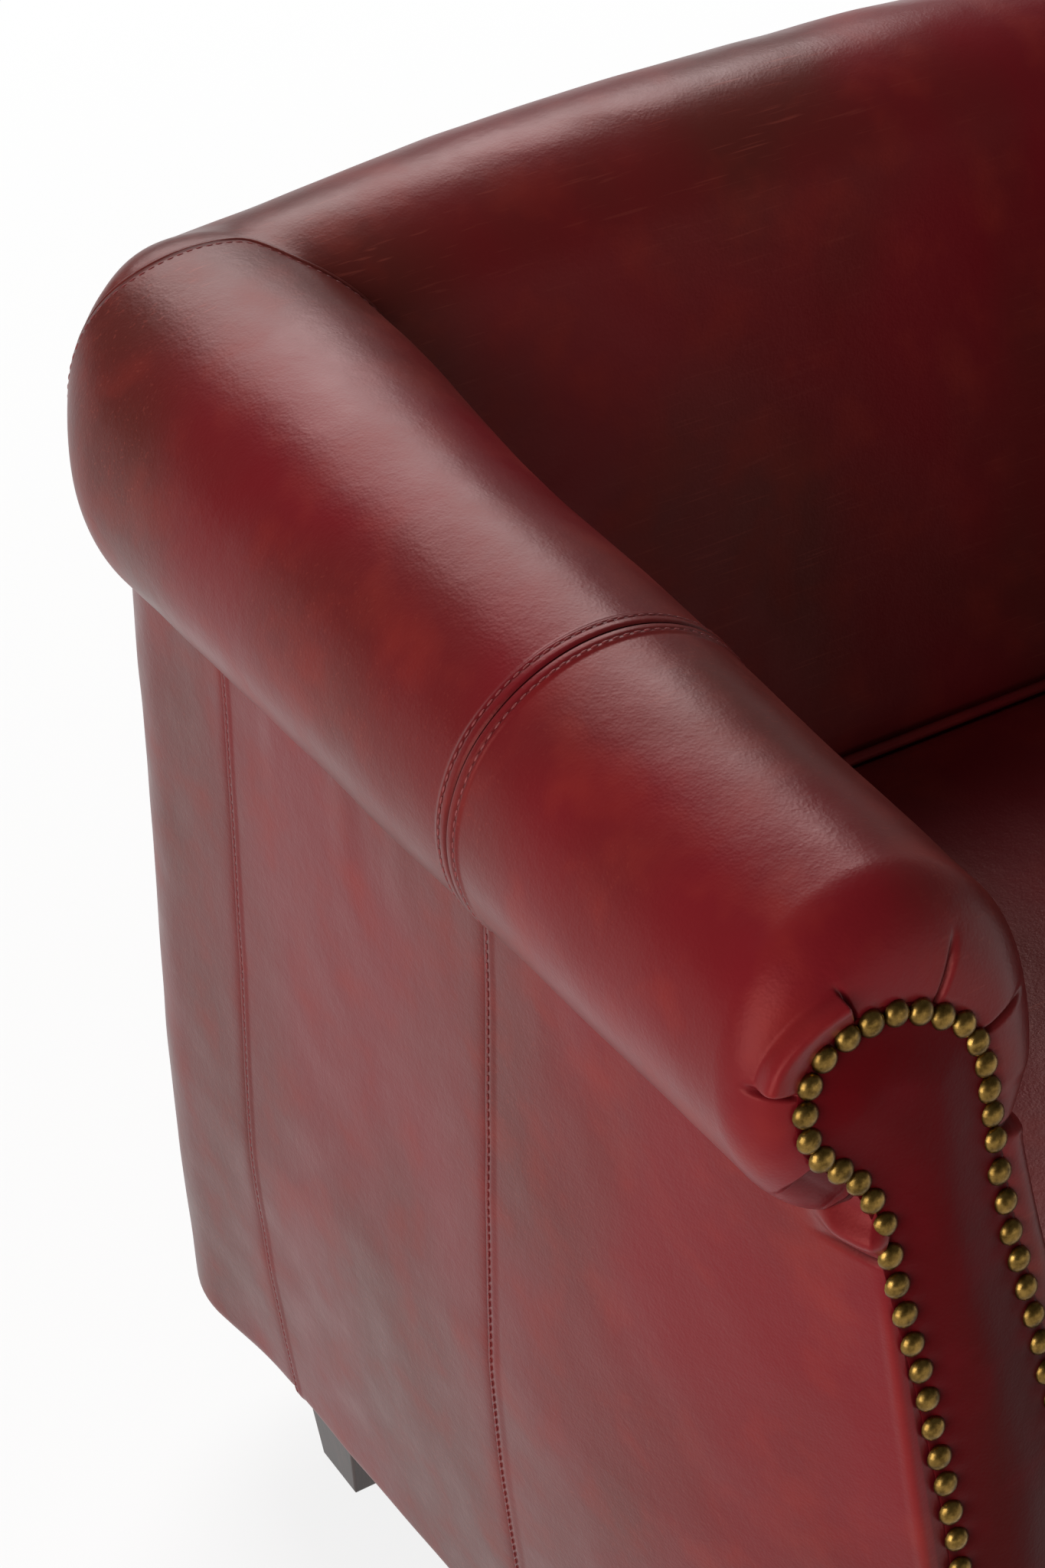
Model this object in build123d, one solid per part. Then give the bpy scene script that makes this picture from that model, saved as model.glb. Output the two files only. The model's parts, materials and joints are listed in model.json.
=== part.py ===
from build123d import *
import math
import os

os.makedirs("parts", exist_ok=True)

# Leather armchair with rolled arms. Millimetres, +Z up, the seat faces -Y, the floor is Z 0.
# Left and right are as seen from the front. Arm pieces are drawn on the left (-X) and mirrored.
# An inset is a distance inwards from the outside arm panel.

# Body outline
panel_half_width = 400.0
rear_plane_y = 329.0
rear_corner_radius = 79.0
least_corner_radius = 8.0
side_bow_radius = 650.0
plan_front_y = -440.0
underside_z = 97.0
underside_round = 40.0
turn_under = 60.0
felt_turn_under = 30.0
leather = 2.0
outside_pad = 8.0
clear = 0.3
overcut = 5.0

# Arm roll and inside arm
roll_inset = 59.7
roll_z = 652.0
roll_radius = 76.7
roll_swell = 0.027
roll_climb = 0.016
roll_front_round = 22.0
mid_seam_y = -56.0
rear_seam_y = 177.0
back_seam_y = 306.0
neck_inset = 22.0
inner_wall_top_inset = 109.0
inner_wall_top_z = 630.0
inner_wall_seat_inset = 139.0
inner_wall_seat_z = 440.0
inner_pad = 24.0

# Arm front: a raked plane through this point, with the keyhole panel on it
front_face_y = -268.6
front_face_z = 636.0
front_rake = 0.20
scroll_inset = 54.0
scroll_z = 634.0
scroll_radius = 42.0
neck_angle = 250.0
stem_outer_inset = 68.0
stem_outer_z = 419.0
stem_foot_outer_inset = 86.0
stem_inner_inset = 126.0
stem_inner_z = 430.0
stem_foot_z = 112.0
facing_margin = 7.0
facing_thickness = 4.0
front_board = 20.0
front_board_margin = 8.0
nail_diameter = 10.2
nail_pitch = 13.4
nail_height = 2.8
nail_sides = 8
nail_taper = 40.0

# Back
back_roll_y = 312.4
back_roll_z = 693.0
back_roll_radius = 68.0
back_shoulder_inset = 184.0
back_end_inset = 40.0
back_shoulder_drop = 28.0
back_end_radius = 58.0
back_end_round = 24.0
corner_reach = 40.0
corner_round = 34.0
back_inner_y = 154.0
back_inner_z = 430.0
back_pad_depth = 55.0

# Frame
rail_bottom_z = 99.0
side_rail_inset = 52.0
side_rail_width = 45.0
side_rail_height = 90.0
side_rail_toe_in = 40.0
side_rail_toe_y = -355.0
cross_rail_height = 140.0
cross_rail_thickness = 28.0
front_rail_y = -324.0
corner_block_leg = 70.0
corner_block_drop = 30.0
corner_block_height = 60.0
top_rail_inset = 30.0
top_rail_width = 50.0
top_rail_z = 588.0
top_rail_height = 30.0
tack_rail_height = 60.0
arm_board = 4.0
post_depth = 55.0
post_top_z = 700.0
back_top_rail_z = 655.0
back_top_rail_height = 40.0
back_top_rail_depth = 38.0
back_lower_rail_z = 300.0
back_lower_rail_height = 40.0
back_lower_rail_depth = 52.0

# Seat deck
webbing_width = 50.0
webbing_thickness = 3.0
seat_webbing_count = 5
back_webbing_count = 4
deck_pad = 40.0
border_setback = 6.0

# Loose seat cushion
cushion_front_y = -326.0
cushion_height = 139.0
cushion_crown = 16.0
cushion_corner_radius = 26.0
cushion_least_radius = 10.0
cushion_draw_in = 6.0
cushion_side_clear = 1.0
cushion_rear_clear = 1.5
cushion_crown_steps = ((0.0, 0.0), (34.0, 0.62), (110.0, 0.94), (190.0, 1.0))
welt_radius = 3.2
welt_clear = 0.15
zip_end_margin = 54.0
zip_border_margin = 14.0
zip_width = 7.0
zip_thickness = 2.2
slider_length = 13.0
slider_wall = 1.6
slider_end_gap = 8.0
pull_length = 24.0
pull_width = 6.0
pull_thickness = 1.2

# Legs
leg_top = 60.0
leg_foot = 38.0
leg_rear_y = 199.5
leg_front_y = -296.0
leg_plate = 3.0
leg_plate_size = 50.0
bolt_radius = 4.0
bolt_in_leg = 38.0
bolt_in_rail = 40.0
bolt_clear = 0.1
dust_cover_thickness = 1.0

# Derived heights and places
rail_top_z = rail_bottom_z + cross_rail_height
webbing_top_z = rail_top_z + webbing_thickness
deck_pad_top_z = webbing_top_z + deck_pad
deck_top_z = deck_pad_top_z + leather
tack_rail_top_z = deck_pad_top_z - leather
side_rail_inner_x = panel_half_width - side_rail_inset - side_rail_width
leg_top_z = rail_bottom_z - leg_plate
rear_rail_rear_y = rear_plane_y - felt_turn_under - leather
post_front_y = rear_rail_rear_y - post_depth
slab_rear_y = back_inner_y + back_pad_depth
back_slab_inset = inner_wall_seat_inset - inner_pad
felt_inner_y = rear_plane_y - leather - outside_pad
rear_rail_front_y = rear_rail_rear_y - cross_rail_thickness
front_rail_rear_y = front_rail_y + cross_rail_thickness
cushion_rear_y = back_inner_y - cushion_rear_clear - 2 * welt_radius - welt_clear
cushion_bottom_z = deck_top_z + clear
cushion_seam_z = cushion_bottom_z + cushion_height
board_depth = leather + front_board
body_top_z = roll_z


def left_x(inset):
    return inset - panel_half_width


def side_rail_shift(y):
    # How far the side rail has swung inwards at y, following the bowed side
    return side_rail_toe_in * max(0.0, (y - mid_seam_y) / (side_rail_toe_y - mid_seam_y))


def leg_inset(y):
    return side_rail_inset + side_rail_width / 2 + side_rail_shift(y)


def roll_centre_z(y):
    return roll_z + roll_climb * (y - mid_seam_y)


def roll_radius_at(y):
    return roll_radius + roll_swell * (y - mid_seam_y)


arm_reach = max(roll_inset + roll_radius_at(cushion_rear_y), inner_wall_seat_inset)
cushion_half_width = panel_half_width - arm_reach - cushion_side_clear - 2 * welt_radius
arm_inner_x = panel_half_width - inner_wall_seat_inset
zip_half_length = cushion_half_width - zip_end_margin


def block(low, high):
    size = [b - a for a, b in zip(low, high)]
    middle = [(a + b) / 2 for a, b in zip(low, high)]
    return Pos(*middle) * Box(*size)


def mirrored(shape):
    return mirror(shape, about=Plane.YZ)


def front_plane(depth):
    # Plane of the arm front, moved back into the arm by a depth
    normal = Vector(0, -1, front_rake).normalized()
    origin = Vector(0, front_face_y, front_face_z) - normal * depth
    return Plane(origin=origin, x_dir=(1, 0, 0), z_dir=normal)


def behind_front(shape, depth):
    return split(shape, bisect_by=front_plane(depth), keep=Keep.BOTTOM)


def side_prism(points, x_low, x_high):
    # A closed outline of (y, z) points, run across the chair
    outline = make_face(Plane.YZ.offset(x_low) * Polyline(*points, close=True))
    return extrude(outline, x_high - x_low, dir=(1, 0, 0))


def arm_prism(points, y_front, y_rear):
    # A closed outline of (inset, z) points, run along the left arm
    places = [(left_x(inset), z) for inset, z in points]
    outline = make_face(Plane.XZ.offset(-y_rear) * Polyline(*places, close=True))
    return extrude(outline, y_rear - y_front, dir=(0, -1, 0))


# Forms shared by covers, pads and what is trimmed against them
def arm_roll(grow, depth, y_rear):
    rings = []
    for y in (plan_front_y, y_rear):
        ring_plane = Plane(origin=(left_x(roll_inset), y, roll_centre_z(y)), z_dir=(0, 1, 0))
        rings.append(ring_plane * Circle(roll_radius_at(y) + grow))
    roll = behind_front(loft(rings, ruled=True), depth)
    front_edge = roll.edges().sort_by(Axis.Y)[0]
    return fillet(front_edge, roll_front_round + grow)


def inside_arm_slab(grow, depth, y_rear, bottom_z):
    points = [
        (inner_wall_seat_inset + grow, bottom_z),
        (inner_wall_seat_inset + grow, inner_wall_seat_z),
        (inner_wall_top_inset + grow, inner_wall_top_z),
        (inner_wall_top_inset + grow, roll_z),
        (inner_wall_top_inset - inner_pad, roll_z),
        (inner_wall_top_inset - inner_pad, inner_wall_top_z),
        (inner_wall_seat_inset - inner_pad, inner_wall_seat_z),
        (inner_wall_seat_inset - inner_pad, bottom_z),
    ]
    return behind_front(arm_prism(points, plan_front_y, y_rear), depth)


def arm_form(grow, depth, past, bottom_z):
    # Roll up to the seam at the back, inside arm up to the rear of the back padding
    roll = arm_roll(grow, depth, back_seam_y + past)
    return roll + inside_arm_slab(grow, depth, slab_rear_y + past, bottom_z)


def footprint(inset):
    # Plan of the body: straight sides, rounded rear corners, sides bowed in towards the front
    x_side = panel_half_width - inset
    y_rear = rear_plane_y - inset
    corner = max(rear_corner_radius - inset, least_corner_radius)
    bow = side_bow_radius - inset
    bow_angle = math.degrees(math.asin((mid_seam_y - plan_front_y) / bow))
    bow_arc = CenterArc((panel_half_width - side_bow_radius, mid_seam_y), bow, -bow_angle, bow_angle)
    half = [
        Line((0, y_rear), (x_side - corner, y_rear)),
        CenterArc((x_side - corner, y_rear - corner), corner, 0, 90),
        Line((x_side, y_rear - corner), (x_side, mid_seam_y)),
        bow_arc,
        Line(bow_arc @ 0, (0, plan_front_y)),
    ]
    return make_face(half + [mirrored(edge) for edge in half])


def body_form(inset):
    bottom_z = underside_z + inset
    form = extrude(Pos(0, 0, bottom_z) * footprint(inset), body_top_z - bottom_z)
    rim = form.edges().group_by(Axis.Z)[0].sort_by(Axis.Y)[1:]
    return fillet(rim, underside_round - inset)


def outside_skin_room():
    # What lies outside the inner face of the outside leather, up to where its curled foot ends
    reach = 2 * panel_half_width
    low = block((-reach, plan_front_y, 0), (reach, reach, underside_z + 2 * underside_round))
    return low - body_form(leather)


def back_ring(inset, drop, radius, grow):
    centre = (left_x(inset), back_roll_y, back_roll_z - drop)
    return Plane(origin=centre, z_dir=(1, 0, 0)) * Circle(radius + grow)


def back_solid(grow, past, bottom_z):
    # Left half of the back: rolled top with a falling shoulder, corner behind the arm roll, inside slab.
    # Past runs the faces that carry no leather on by a distance, for cutting.
    end = back_ring(back_end_inset, back_shoulder_drop, back_end_radius, grow)
    shoulder = back_ring(back_shoulder_inset, 0, back_roll_radius, grow)
    middle = back_ring(panel_half_width + past, 0, back_roll_radius, grow)
    outer = loft([end, shoulder], ruled=True)
    outer = fillet(outer.edges().sort_by(Axis.X)[0], back_end_round + grow)
    roll = outer + loft([shoulder, middle], ruled=True)
    corner = arm_corner(grow, back_seam_y - past, back_seam_y + corner_reach + grow)
    inside = back_inner_y - grow
    front = back_roll_y - back_roll_radius - grow
    roll_back = back_roll_y - back_roll_radius + back_pad_depth + past
    points = [
        (inside, bottom_z - past),
        (inside, back_inner_z),
        (front, back_roll_z),
        (roll_back, back_roll_z),
        (slab_rear_y + past, back_inner_z),
        (slab_rear_y + past, bottom_z - past),
    ]
    slab = side_prism(points, left_x(back_slab_inset), past)
    return roll + corner + slab


def arm_corner(grow, y_front, y_rear):
    # The arm roll carried on round the rear corner, past the seam
    rings = []
    for y in (y_front, y_rear):
        ring_plane = Plane(origin=(left_x(roll_inset), y, roll_centre_z(y)), z_dir=(0, 1, 0))
        rings.append(ring_plane * Circle(roll_radius_at(y) + grow))
    corner = loft(rings, ruled=True)
    return fillet(corner.edges().sort_by(Axis.Y)[-1], corner_round + grow)


# Keyhole outline of the arm front, as (inset, z) points
def scroll_point(angle, radius):
    turn = math.radians(angle)
    return (scroll_inset + radius * math.cos(turn), scroll_z + radius * math.sin(turn))


def on_front(inset, z):
    # Place on the arm front plane, measured along the rake
    return (left_x(inset), (z - front_face_z) * math.hypot(1, front_rake))


def keyhole(margin, foot_z):
    neck = scroll_point(neck_angle, scroll_radius)
    stem = [
        (scroll_inset + scroll_radius + margin, scroll_z),
        (stem_inner_inset + margin, stem_inner_z),
        (stem_inner_inset + margin, foot_z),
        (stem_foot_outer_inset - margin, foot_z),
        (stem_outer_inset - margin, stem_outer_z),
        (neck[0] - margin, neck[1]),
        (scroll_inset, scroll_z),
    ]
    head = Pos(*on_front(scroll_inset, scroll_z)) * Circle(scroll_radius + margin)
    return head + make_face(Polyline(*[on_front(*point) for point in stem], close=True))


def nail_places():
    # Evenly spaced places along the keyhole, up the inner edge, round the scroll, down the outer edge
    arc = [scroll_point(angle, scroll_radius) for angle in range(0, int(neck_angle) + 1, 5)]
    route = [(stem_inner_inset, stem_foot_z), (stem_inner_inset, stem_inner_z)] + arc
    route += [(stem_outer_inset, stem_outer_z), (stem_foot_outer_inset, stem_foot_z)]
    route = [on_front(*point) for point in route]
    lengths = [math.dist(a, b) for a, b in zip(route, route[1:])]
    count = round(sum(lengths) / nail_pitch)
    step = sum(lengths) / count
    places = []
    for number in range(count + 1):
        along = number * step
        leg = 0
        while leg < len(lengths) - 1 and along > lengths[leg]:
            along -= lengths[leg]
            leg += 1
        share = along / lengths[leg]
        (x0, v0), (x1, v1) = route[leg], route[leg + 1]
        places.append((x0 + share * (x1 - x0), v0 + share * (v1 - v0)))
    return places


parts = {}


def both_sides(name, left_shape):
    parts[name + "_left"] = left_shape
    parts[name + "_right"] = mirrored(left_shape)


# Frame
def make_frame():
    rail_x = (left_x(side_rail_inset), left_x(side_rail_inset + side_rail_width))
    toe_x = [x + side_rail_shift(plan_front_y) for x in rail_x]
    plan = [
        (rail_x[0], rear_rail_rear_y),
        (rail_x[0], mid_seam_y),
        (toe_x[0], plan_front_y),
        (toe_x[1], plan_front_y),
        (rail_x[1], mid_seam_y),
        (rail_x[1], rear_rail_rear_y),
    ]
    outline = make_face(Pos(0, 0, rail_bottom_z) * Polyline(*plan, close=True))
    skin_room = outside_skin_room()
    side_rail = behind_front(extrude(outline, side_rail_height, dir=(0, 0, 1)), board_depth) - skin_room
    for y in (leg_front_y, leg_rear_y):
        side_rail -= bolt_hole(y)
    both_sides("side_rail", side_rail)
    half = arm_inner_x + inner_pad
    front_rail = block((-half, front_rail_y, rail_bottom_z), (half, front_rail_rear_y, rail_top_z))
    parts["front_rail"] = front_rail - parts["side_rail_left"] - parts["side_rail_right"]
    rear_rail = block((-side_rail_inner_x, rear_rail_front_y, rail_bottom_z),
                      (side_rail_inner_x, rear_rail_rear_y, rail_top_z))
    parts["rear_rail"] = rear_rail - skin_room
    both_sides("arm_front_board", make_front_board() - skin_room)
    top_rail_x = (left_x(top_rail_inset), left_x(top_rail_inset + top_rail_width))
    top_rail = block((top_rail_x[0], plan_front_y, top_rail_z),
                     (top_rail_x[1], post_front_y, top_rail_z + top_rail_height))
    both_sides("arm_top_rail", behind_front(top_rail, board_depth))
    tack_x = (left_x(inner_wall_seat_inset - inner_pad), left_x(inner_wall_seat_inset))
    tack_rail = block((tack_x[0], front_rail_rear_y, tack_rail_top_z - tack_rail_height),
                      (tack_x[1], rear_rail_front_y, tack_rail_top_z))
    both_sides("arm_tack_rail", tack_rail)
    post = block((rail_x[0], post_front_y, rail_bottom_z + side_rail_height),
                 (rail_x[1], post_front_y + post_depth, post_top_z))
    both_sides("back_post", post)
    parts["back_top_rail"] = block(
        (-side_rail_inner_x, rear_rail_rear_y - back_top_rail_depth, back_top_rail_z),
        (side_rail_inner_x, rear_rail_rear_y, back_top_rail_z + back_top_rail_height))
    parts["back_lower_rail"] = block(
        (-side_rail_inner_x, slab_rear_y, back_lower_rail_z),
        (side_rail_inner_x, slab_rear_y + back_lower_rail_depth,
         back_lower_rail_z + back_lower_rail_height))
    parts["corner_blocks"] = make_corner_blocks()


def bolt_hole(y):
    top_z = rail_bottom_z + bolt_in_rail
    length = bolt_in_rail + leg_plate + bolt_in_leg
    return Pos(left_x(leg_inset(y)), y, top_z - length / 2) * Cylinder(bolt_radius + bolt_clear, length)


def make_front_board():
    foot_z = rail_bottom_z + front_rake * board_depth
    outline = front_plane(leather) * keyhole(-front_board_margin, foot_z)
    return extrude(outline, -front_board)


def make_corner_blocks():
    low_z = rail_bottom_z + corner_block_drop
    blocks = []
    for y, inwards in ((front_rail_rear_y, 1), (rear_rail_front_y, -1)):
        for side in (-1, 1):
            far_y = y + inwards * corner_block_leg
            corner = (side * (side_rail_inner_x - side_rail_shift(y)), y)
            along = (corner[0] - side * corner_block_leg, y)
            across = (side * (side_rail_inner_x - side_rail_shift(far_y)), far_y)
            face = make_face(Polyline(corner, along, across, close=True))
            blocks.append(extrude(Pos(0, 0, low_z) * face, corner_block_height, dir=(0, 0, 1)))
    return Compound(children=blocks)


# Suspension
def spread(count, half_width, strap):
    pitch = (2 * half_width - strap) / (count - 1)
    return [-half_width + strap / 2 + number * pitch for number in range(count)]


def make_webbing():
    straps = []
    for x in spread(seat_webbing_count, arm_inner_x - webbing_width, webbing_width):
        straps.append(block((x - webbing_width / 2, front_rail_y, rail_top_z),
                            (x + webbing_width / 2, rear_rail_rear_y, webbing_top_z)))
    parts["seat_webbing"] = Compound(children=straps)
    lean = (back_roll_y - back_roll_radius - back_inner_y) / (back_roll_z - back_inner_z)
    low_z = back_lower_rail_z + back_lower_rail_height
    high_y = slab_rear_y + lean * (back_top_rail_z - back_inner_z)
    front = [(slab_rear_y, low_z), (slab_rear_y, back_inner_z), (high_y, back_top_rail_z)]
    rear = [(y + webbing_thickness, z) for y, z in reversed(front)]
    straps = []
    for x in spread(back_webbing_count, side_rail_inner_x - webbing_width, webbing_width):
        straps.append(side_prism(front + rear, x - webbing_width / 2, x + webbing_width / 2))
    parts["back_webbing"] = Compound(children=straps)


def make_inside_arm_board():
    near = inner_wall_seat_inset - inner_pad
    far = inner_wall_top_inset - inner_pad
    points = [
        (near, tack_rail_top_z),
        (near, inner_wall_seat_z),
        (far, inner_wall_top_z),
        (far - arm_board, inner_wall_top_z),
        (near - arm_board, inner_wall_seat_z),
        (near - arm_board, tack_rail_top_z),
    ]
    board = behind_front(arm_prism(points, plan_front_y, slab_rear_y), board_depth)
    board -= arm_roll(0, 0, back_seam_y)
    both_sides("inside_arm_board", board)


# Padding and leather of the arms and back
def carved(pad, names):
    for name in names:
        pad = pad - parts[name]
    return pad


def make_arm_pads():
    pad = arm_form(-leather, leather, 0, tack_rail_top_z)
    names = ["arm_front_board_left", "arm_top_rail_left", "back_post_left", "back_top_rail"]
    both_sides("arm_pad", carved(pad, names))


def make_roll_covers():
    outer = arm_form(0, 0, 0, tack_rail_top_z)
    inner = arm_form(-leather, leather, leather, tack_rail_top_z - leather)
    cover = outer - inner
    hollow = block((left_x(neck_inset), plan_front_y, tack_rail_top_z),
                   (left_x(inner_wall_top_inset - 2 * leather), back_seam_y + leather,
                    inner_wall_top_z - inner_pad))
    cover = carved(cover - hollow, ["back_top_rail"])
    seam = Plane(origin=(0, mid_seam_y, 0), z_dir=(0, 1, 0))
    both_sides("roll_cover_front", split(cover, bisect_by=seam, keep=Keep.BOTTOM))
    both_sides("roll_cover_rear", split(cover, bisect_by=seam, keep=Keep.TOP))


def make_back():
    low_z = deck_top_z
    arm = arm_form(clear, -clear, clear, low_z - overcut)
    roll_low_z = back_roll_z - back_pad_depth / 2
    roll_back_y = back_roll_y - back_roll_radius + back_pad_depth
    points = [
        (slab_rear_y, low_z),
        (slab_rear_y, back_inner_z),
        (roll_back_y, back_roll_z),
        (roll_back_y, roll_low_z),
        (felt_inner_y, roll_low_z),
        (felt_inner_y, low_z),
    ]
    hollow = side_prism(points, left_x(back_slab_inset), overcut)
    cover_half = back_solid(0, 0, low_z) - back_solid(-leather, overcut, low_z) - hollow - arm
    parts["back_cover"] = cover_half + mirrored(cover_half)
    pad_half = back_solid(-leather, 0, low_z) - arm
    pad = pad_half + mirrored(pad_half)
    names = ["back_post_left", "back_post_right", "back_top_rail", "back_webbing"]
    parts["back_pad"] = carved(pad, names)


def make_outside():
    corner_rear_y = back_seam_y + corner_reach + clear
    upper = arm_roll(clear, -clear, back_seam_y) + arm_corner(clear, back_seam_y, corner_rear_y)
    upper += back_ring_solid(clear)
    left_half = block((-2 * panel_half_width, plan_front_y, 0), (0, 2 * panel_half_width, body_top_z))
    forms = [body_form(inset) for inset in (0, leather, leather + outside_pad)]
    layers = ((forms[0], forms[1], turn_under), (forms[1], forms[2], felt_turn_under))
    for outer, inner, turned in layers:
        open_floor = extrude(Pos(0, 0, underside_z) * footprint(turned), body_top_z - underside_z)
        shell = behind_front((outer - inner) & left_half, 0) - open_floor - upper
        for y in (leg_front_y, leg_rear_y):
            shell = shell - leg_notch(y)
        shell = shell - block((-arm_inner_x, plan_front_y, 0), (0, front_rail_rear_y, rail_bottom_z))
        rear_seam = Plane(origin=(0, rear_seam_y, 0), z_dir=(0, 1, 0))
        side = split(shell, bisect_by=rear_seam, keep=Keep.BOTTOM)
        rear_half = split(shell, bisect_by=rear_seam, keep=Keep.TOP)
        rear = rear_half + mirrored(rear_half)
        if turned == felt_turn_under:
            both_sides("outside_arm_pad", carved(side, ["arm_front_board_left", "side_rail_left"]))
            rear_names = ["side_rail_left", "side_rail_right", "back_post_left", "back_post_right"]
            parts["outside_back_pad"] = carved(rear, rear_names)
            continue
        mid_seam = Plane(origin=(0, mid_seam_y, 0), z_dir=(0, 1, 0))
        both_sides("outside_arm_front", split(side, bisect_by=mid_seam, keep=Keep.BOTTOM))
        both_sides("outside_arm_rear", split(side, bisect_by=mid_seam, keep=Keep.TOP))
        parts["outside_back_cover"] = rear


def leg_notch(y):
    half = leg_top / 2 + clear
    x = left_x(leg_inset(y))
    return block((x - half, y - half, 0), (x + half, y + half, rail_bottom_z))


def back_ring_solid(grow):
    end = back_ring(back_end_inset, back_shoulder_drop, back_end_radius, grow)
    shoulder = back_ring(back_shoulder_inset, 0, back_roll_radius, grow)
    middle = back_ring(panel_half_width, 0, back_roll_radius, grow)
    return loft([end, shoulder], ruled=True) + loft([shoulder, middle], ruled=True)


# Arm fronts
def make_arm_fronts():
    outline = front_plane(0) * keyhole(facing_margin, stem_foot_z - facing_margin)
    both_sides("arm_facing", extrude(outline, facing_thickness))
    nails = []
    seat = front_plane(-facing_thickness)
    for x, v in nail_places():
        head = seat * Pos(x, v) * RegularPolygon(nail_diameter / 2, nail_sides)
        nails.append(extrude(head, nail_height, taper=nail_taper))
    both_sides("facing_nails", Compound(children=nails))


# Seat deck, front border and underside
def make_deck():
    half = arm_inner_x - clear
    parts["seat_deck_pad"] = block((-half, front_rail_y, webbing_top_z),
                                   (half, back_inner_y - clear, deck_pad_top_z))
    parts["seat_deck_cover"] = block((-half, front_rail_y, deck_pad_top_z),
                                     (half, back_inner_y - clear, deck_top_z))
    for name, front, rear in (("front_border_cover", border_setback, border_setback + leather),
                              ("front_border_pad", border_setback + leather, None)):
        band = block((-half, plan_front_y, underside_z), (half, front_rail_y, deck_top_z))
        band = behind_front(band, front)
        if rear is not None:
            band = split(band, bisect_by=front_plane(rear), keep=Keep.TOP)
        parts[name] = carved(band, ["arm_front_board_left", "arm_front_board_right"])
    sheet_z = rail_bottom_z - dust_cover_thickness
    sheet = extrude(Pos(0, 0, sheet_z) * footprint(turn_under + clear), dust_cover_thickness)
    sheet = sheet & block((-panel_half_width, front_rail_y, 0),
                          (panel_half_width, rear_plane_y, rail_bottom_z))
    for y in (leg_front_y, leg_rear_y):
        sheet = sheet - leg_notch(y) - mirrored(leg_notch(y))
    parts["dust_cover"] = sheet


# Legs
def make_legs():
    plates = []
    bolts = []
    for row, y in (("front", leg_front_y), ("rear", leg_rear_y)):
        foot = Pos(left_x(leg_inset(y)), y, 0) * Rectangle(leg_foot, leg_foot)
        head = Pos(left_x(leg_inset(y)), y, leg_top_z) * Rectangle(leg_top, leg_top)
        both_sides("leg_" + row, loft([foot, head], ruled=True) - bolt_hole(y))
        plate_z = leg_top_z + leg_plate / 2
        plate = Pos(left_x(leg_inset(y)), y, plate_z) * Box(leg_plate_size, leg_plate_size, leg_plate)
        plate = plate - bolt_hole(y)
        length = bolt_in_rail + leg_plate + bolt_in_leg
        middle_z = rail_bottom_z + bolt_in_rail - length / 2
        bolt = Pos(left_x(leg_inset(y)), y, middle_z) * Cylinder(bolt_radius, length)
        plates += [plate, mirrored(plate)]
        bolts += [bolt, mirrored(bolt)]
    parts["leg_plates"] = Compound(children=plates)
    parts["leg_bolts"] = Compound(children=bolts)


# Loose seat cushion
def cushion_outline(inset):
    # Rounded rectangle with front and sides drawn in between the corners and a straight rear
    x = cushion_half_width - inset
    front = cushion_front_y + inset
    rear = cushion_rear_y - inset
    middle_y = (front + rear) / 2
    sides = [
        ThreePointArc((-x, front), (0, front + cushion_draw_in), (x, front)),
        ThreePointArc((x, front), (x - cushion_draw_in, middle_y), (x, rear)),
        Line((x, rear), (-x, rear)),
        ThreePointArc((-x, rear), (-x + cushion_draw_in, middle_y), (-x, front)),
    ]
    face = make_face(sides)
    return fillet(face.vertices(), max(cushion_corner_radius - inset, cushion_least_radius))


def cushion_form(inset):
    bottom_z = cushion_bottom_z + inset
    form = extrude(Pos(0, 0, bottom_z) * cushion_outline(inset), cushion_seam_z - bottom_z)
    rings = []
    for step, rise in cushion_crown_steps:
        z = cushion_seam_z + rise * (cushion_crown - inset)
        rings.append(Pos(0, 0, z) * cushion_outline(inset + step))
    return form + loft(rings)


def make_cushion():
    core = cushion_form(leather)
    skin = cushion_form(0) - core
    parts["cushion_core"] = core
    seam = Plane(origin=(0, 0, cushion_seam_z))
    parts["cushion_top_cover"] = split(skin, bisect_by=seam, keep=Keep.TOP)
    lower = split(skin, bisect_by=seam, keep=Keep.BOTTOM)
    floor = Plane(origin=(0, 0, cushion_bottom_z + leather))
    parts["cushion_bottom_cover"] = split(lower, bisect_by=floor, keep=Keep.BOTTOM)
    border = split(lower, bisect_by=floor, keep=Keep.TOP)
    half = zip_half_length + zip_border_margin
    rear_box = block((-half, 0, 0), (half, 2 * cushion_rear_y, cushion_seam_z))
    parts["cushion_zip_border"] = border & rear_box
    parts["cushion_border"] = border - rear_box
    welts = []
    for z in (cushion_bottom_z + welt_radius, cushion_seam_z):
        path = cushion_outline(-welt_radius - welt_clear).wires()[0].moved(Location((0, 0, z)))
        ring = Plane(origin=path @ 0, z_dir=path % 0) * Circle(welt_radius)
        welts.append(sweep(ring, path=path))
    parts["cushion_welts"] = Compound(children=welts)
    make_zip()


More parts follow.
